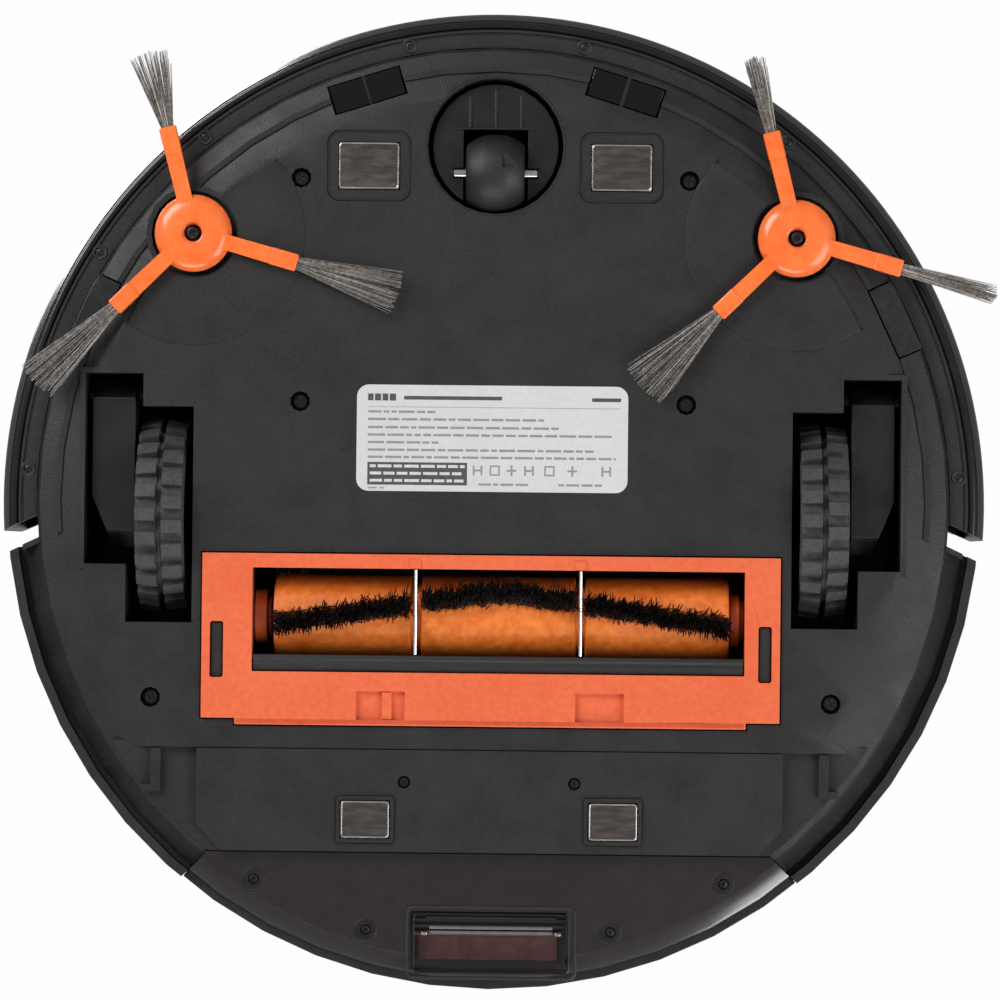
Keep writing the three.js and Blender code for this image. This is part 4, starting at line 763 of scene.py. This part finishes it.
def rounded_frame(width, depth, corner, line, z0, z1, x, y):
    """A rounded rectangle drawn as a raised line."""
    clear_selection()
    bpy.ops.mesh.primitive_plane_add(size=1, location=mm(x, y, z1), scale=(1, 1, 1))
    obj = bpy.context.object
    obj.scale = (width * MM, depth * MM, 1)
    settle(obj)
    bpy.ops.object.mode_set(mode="EDIT")
    bpy.ops.mesh.select_all(action="SELECT")
    bpy.ops.mesh.bevel(offset=corner * MM, segments=6, affect="VERTICES")
    bpy.ops.mesh.select_all(action="SELECT")
    bpy.ops.mesh.inset(thickness=line * MM, use_boundary=True)
    bpy.ops.mesh.delete(type="FACE")
    bpy.ops.mesh.select_all(action="SELECT")
    bpy.ops.mesh.extrude_region_move(TRANSFORM_OT_translate={"value": (0, 0, (z0 - z1) * MM)})
    bpy.ops.mesh.select_all(action="SELECT")
    bpy.ops.mesh.normals_make_consistent(inside=False)
    bpy.ops.object.mode_set(mode="OBJECT")
    return obj


def contact_rims(m):
    """Each charging plate's folded rim, in steel brightened as a painted highlight, in its rounded groove drawn as a
    near-black ring of painted shade.
    """
    for place, (x, y, width, depth, face) in {
        "front": (42.1, -112.1, 20.0, 15.4, 8.6), "rear": (41.2, 105.5, 16.0, 12.2, 8.2)}.items():
        for side, sign in (("left", -1), ("right", 1)):
            rim = rounded_frame(width, depth, 1.3, 0.5, face - 0.3, face + 0.9, sign * x, y)
            soften(rim, 0.14)
            own(rim, f"contact_rim_{place}_{side}", m["rim_steel"], "root")
    for side, sign in (("left", -1), ("right", 1)):
        # Near-black rings of painted shade, laid where each plate's groove lies.
        groove = rounded_frame(27.6, 23.2, 4.2, 0.75, 8.93, 9.6, sign * 42.1, -112.1)
        own(groove, f"contact_shade_ring_{side}", m["shadow"], "root")
        inner = rounded_frame(21.3, 17.5, 2.6, 0.7, 8.53, 9.2, sign * 41.2, 105.5)
        own(inner, f"rear_contact_shade_ring_{side}", m["shadow"], "root")


def plates(rects, z0, z1):
    """Flat bars, each (x0, x1, y0, y1), laid side by side in one mesh."""
    clear_selection()
    x0, x1, y0, y1 = rects[0]
    obj = block(x0, x1, y0, y1, z0, z1)
    pick(obj)
    bpy.ops.object.mode_set(mode="EDIT")
    for x0, x1, y0, y1 in rects[1:]:
        bpy.ops.mesh.primitive_cube_add(size=1, location=mm((x0 + x1) / 2, (y0 + y1) / 2, (z0 + z1) / 2),
                                        scale=mm(x1 - x0, y1 - y0, z1 - z0))
    bpy.ops.object.mode_set(mode="OBJECT")
    return obj


def rating_label(m):
    """A white film label with generic bars in place of print."""
    x0, x1, y0, y1 = -45.3, 45.0, -39.2, -3.8
    clear_selection()
    bpy.ops.mesh.primitive_plane_add(size=1, location=mm((x0 + x1) / 2, (y0 + y1) / 2, UNDERSIDE))
    film = bpy.context.object
    film.scale = ((x1 - x0) * MM, (y1 - y0) * MM, 1)
    settle(film)
    bpy.ops.object.mode_set(mode="EDIT")
    bpy.ops.mesh.select_all(action="SELECT")
    bpy.ops.mesh.bevel(offset=4 * MM, segments=7, affect="VERTICES")
    bpy.ops.mesh.select_all(action="SELECT")
    bpy.ops.mesh.extrude_region_move(TRANSFORM_OT_translate={"value": (0, 0, -0.12 * MM)})
    bpy.ops.mesh.select_all(action="SELECT")
    bpy.ops.mesh.normals_make_consistent(inside=False)
    bpy.ops.object.mode_set(mode="OBJECT")
    own(film, "rating_label", m["label"], "root", smooth=0)
    dice = random.Random(3)
    bottom = UNDERSIDE - 0.16
    top = UNDERSIDE - 0.11

    def words(x, end, y, height, low=1.6, high=6.0, gap=0.75):
        bars = []
        while x < end - 0.6:
            length = min(dice.uniform(low, high), end - x)
            bars.append((x, x + length, y, y + height))
            x += length + gap
        return bars

    heavy = [(-29.6, 3.0, -35.5, -34.3), (33.0, 42.6, -35.3, -34.1)] + words(-41.6, -31.4, -36.2, 2.3, 1.6, 2.4, 0.5)
    own(plates(heavy, bottom, top), "label_heading", m["ink_dark"], "root", smooth=0)
    lines = [(-41.5, 42.5, -31.9, -31.75)]
    for y, end in ((-30.6, -18.0), (-28.1, 18.0), (-25.4, 22.0), (-22.9, 40.0), (-20.4, -18.0), (-17.9, 34.0),
                   (-15.5, 41.0)):
        lines += words(-41.5, end, y, 0.75)
    own(plates(lines, bottom, top), "label_lines", m["ink_grey"], "root", smooth=0)
    own(plates([(-41.6, -8.4, -13.4, -5.9)], bottom, top), "label_panel", m["ink_dark"], "root", smooth=0)
    inner = []
    for y in (-12.6, -10.2, -7.8):
        inner += words(-40.8, -9.2, y, 0.95, 1.8, 5.0, 0.7)
    own(plates(inner, bottom - 0.04, bottom), "label_panel_lines", m["ink_light"], "root", smooth=0)
    shapes = []
    for number, x in enumerate((-4.9, 0.8, 6.4, 12.2, 19.0, 26.6, 37.9)):
        y = -10.9
        if number % 3 == 0:
            shapes += [(x - 1.6, x - 1.0, y - 1.6, y + 1.6), (x + 1.0, x + 1.6, y - 1.6, y + 1.6),
                       (x - 1.0, x + 1.0, y - 0.3, y + 0.3)]
        elif number % 3 == 1:
            shapes += [(x - 1.7, x + 1.7, y - 1.7, y - 1.2), (x - 1.7, x + 1.7, y + 1.2, y + 1.7),
                       (x - 1.7, x - 1.2, y - 1.2, y + 1.2), (x + 1.2, x + 1.7, y - 1.2, y + 1.2)]
        else:
            shapes += [(x - 0.3, x + 0.3, y - 1.8, y + 1.8), (x - 1.6, x - 0.3, y - 0.3, y + 0.3),
                       (x + 0.3, x + 1.6, y - 0.3, y + 0.3)]
    shapes += words(-4.6, 12.0, -6.6, 0.7) + words(22.0, 36.5, -6.6, 0.7) + words(-41.4, -36.0, -5.1, 0.5)
    own(plates(shapes, bottom, top), "label_marks", m["ink_grey"], "root", smooth=0)


def brush_fittings(m):
    """What shows in the brush window: bearing collars, the cover's inner ledge in deeper orange as painted shade, and
    the pads in its end slots.
    """
    for side, x0, x1 in (("left", -79.3, -73.9), ("right", 80.0, 84.3)):
        collar = turned([(3.0, x0), (8.8, x0), (9.0, x0 + 0.3), (9.0, x1 - 1.6), (7.4, x1 - 0.6), (6.8, x1), (3.0, x1)],
                        y=ROLLER["y"], z=ROLLER["z"], sides=48, axis="X")
        own(collar, f"bearing_collar_{side}", m["orange_gloss"], "root")
    for side, sign in (("left", -1), ("right", 1)):
        pad = block(sign * 91.2 - 2.0, sign * 91.2 + 2.0, 40.3, 58.5, 9.0, 11.0)
        soften(pad, 0.5, segments=3)
        own(pad, f"cover_pad_{side}", m["dark_rubber"], "cover")
    bosses = []
    for x in WIRES:
        boss = block(x - 1.9, x + 1.9, 19.0, 21.9, 7.35, 8.3)
        soften(boss, 0.3)
        bosses.append(boss)
    own(joined(bosses), "wire_bosses", m["orange_abs"], "cover")
    shadow = block(-84.6, 84.6, 72.3, 73.9, 7.7, 8.3)
    soften(shadow, 0.3)
    own(shadow, "cover_rear_step_shade", m["orange_dark"], "cover")


def cliff_windows(m):
    """The rib across the middle of each front sensor."""
    for side, sign in (("left", -1), ("right", 1)):
        window = frame["nodes"][f"cliff_window_front_{side}"]
        corners = [window.matrix_world @ vertex.co for vertex in window.data.vertices]
        low = min(corner.z for corner in corners) / MM
        middle = sum(corners, Vector()) / len(corners) / MM
        rib = block(-0.5, 0.5, -5.2, 5.2, low - 0.5, low + 0.6)
        soften(rib, 0.2)
        move(rib, middle.x, middle.y, 0, sign * 17.4)
        own(rib, f"cliff_rib_{side}", m["black_part"], "root")


def dust_port(m):
    """The emptying port under the bin: its rounded frame, the louvre bars and the flap's pin ends."""
    rim = rounded_frame(57.2, 24.6, 3.0, 1.1, 11.9, 13.4, 1.0, 146.4)
    soften(rim, 0.3)
    own(rim, "port_rim", m["black_abs"], "dust_bin")
    inner = rounded_frame(52.4, 20.2, 2.2, 0.8, 12.1, 15.5, 1.0, 146.6)
    soften(inner, 0.2)
    own(inner, "port_inner_rim", m["gloss_abs"], "dust_bin")
    # The louvre bars' light grey is a painted highlight.
    bars = []
    for y, z, half in ((138.6, 15.6, 22.0), (141.6, 14.6, 20.6), (143.2, 15.4, 20.6)):
        bar = block(-half + 1, half + 1, y - 0.55, y + 0.55, z, z + 2)
        soften(bar, 0.35, segments=3)
        bars.append(bar)
    own(joined(bars), "port_louvres", m["port_bar"], "dust_bin")
    pins = []
    for x in (-22.3, 22.3):
        pin = block(x + 1 - 0.95, x + 1 + 0.95, 143.2, 144.2, 14.6, 16.2)
        soften(pin, 0.25)
        pins.append(pin)
    own(joined(pins), "flap_pin_ends", m["rim_steel"], "dust_bin")
    pads = []
    for x, y in ((-78.3, 125.9), (78.3, 125.9), (-40.8, 142.4), (40.8, 142.4)):
        pads.append(turned([(2.1, 12.25), (3.5, 12.2), (3.8, 12.35), (3.8, 12.9), (2.1, 12.9)], x=x, y=y, sides=32))
    own(joined(pads), "bin_screw_pads", m["black_part"], "dust_bin")


def finish_robot(m):
    keep_inner_pieces(m)
    round_the_edges(m)
    bumper(m)
    screws(m)
    arm_sleeves(m)
    tufts(m)
    roller(m)
    brush_dishes(m)
    bristle_rows(m)
    tyres(m)
    caster(m)
    contact_rims(m)
    rating_label(m)
    brush_fittings(m)
    cliff_windows(m)
    dust_port(m)


set_camera()
finishes = make_materials()
set_lights()
lay_floor()
finish_robot(finishes)
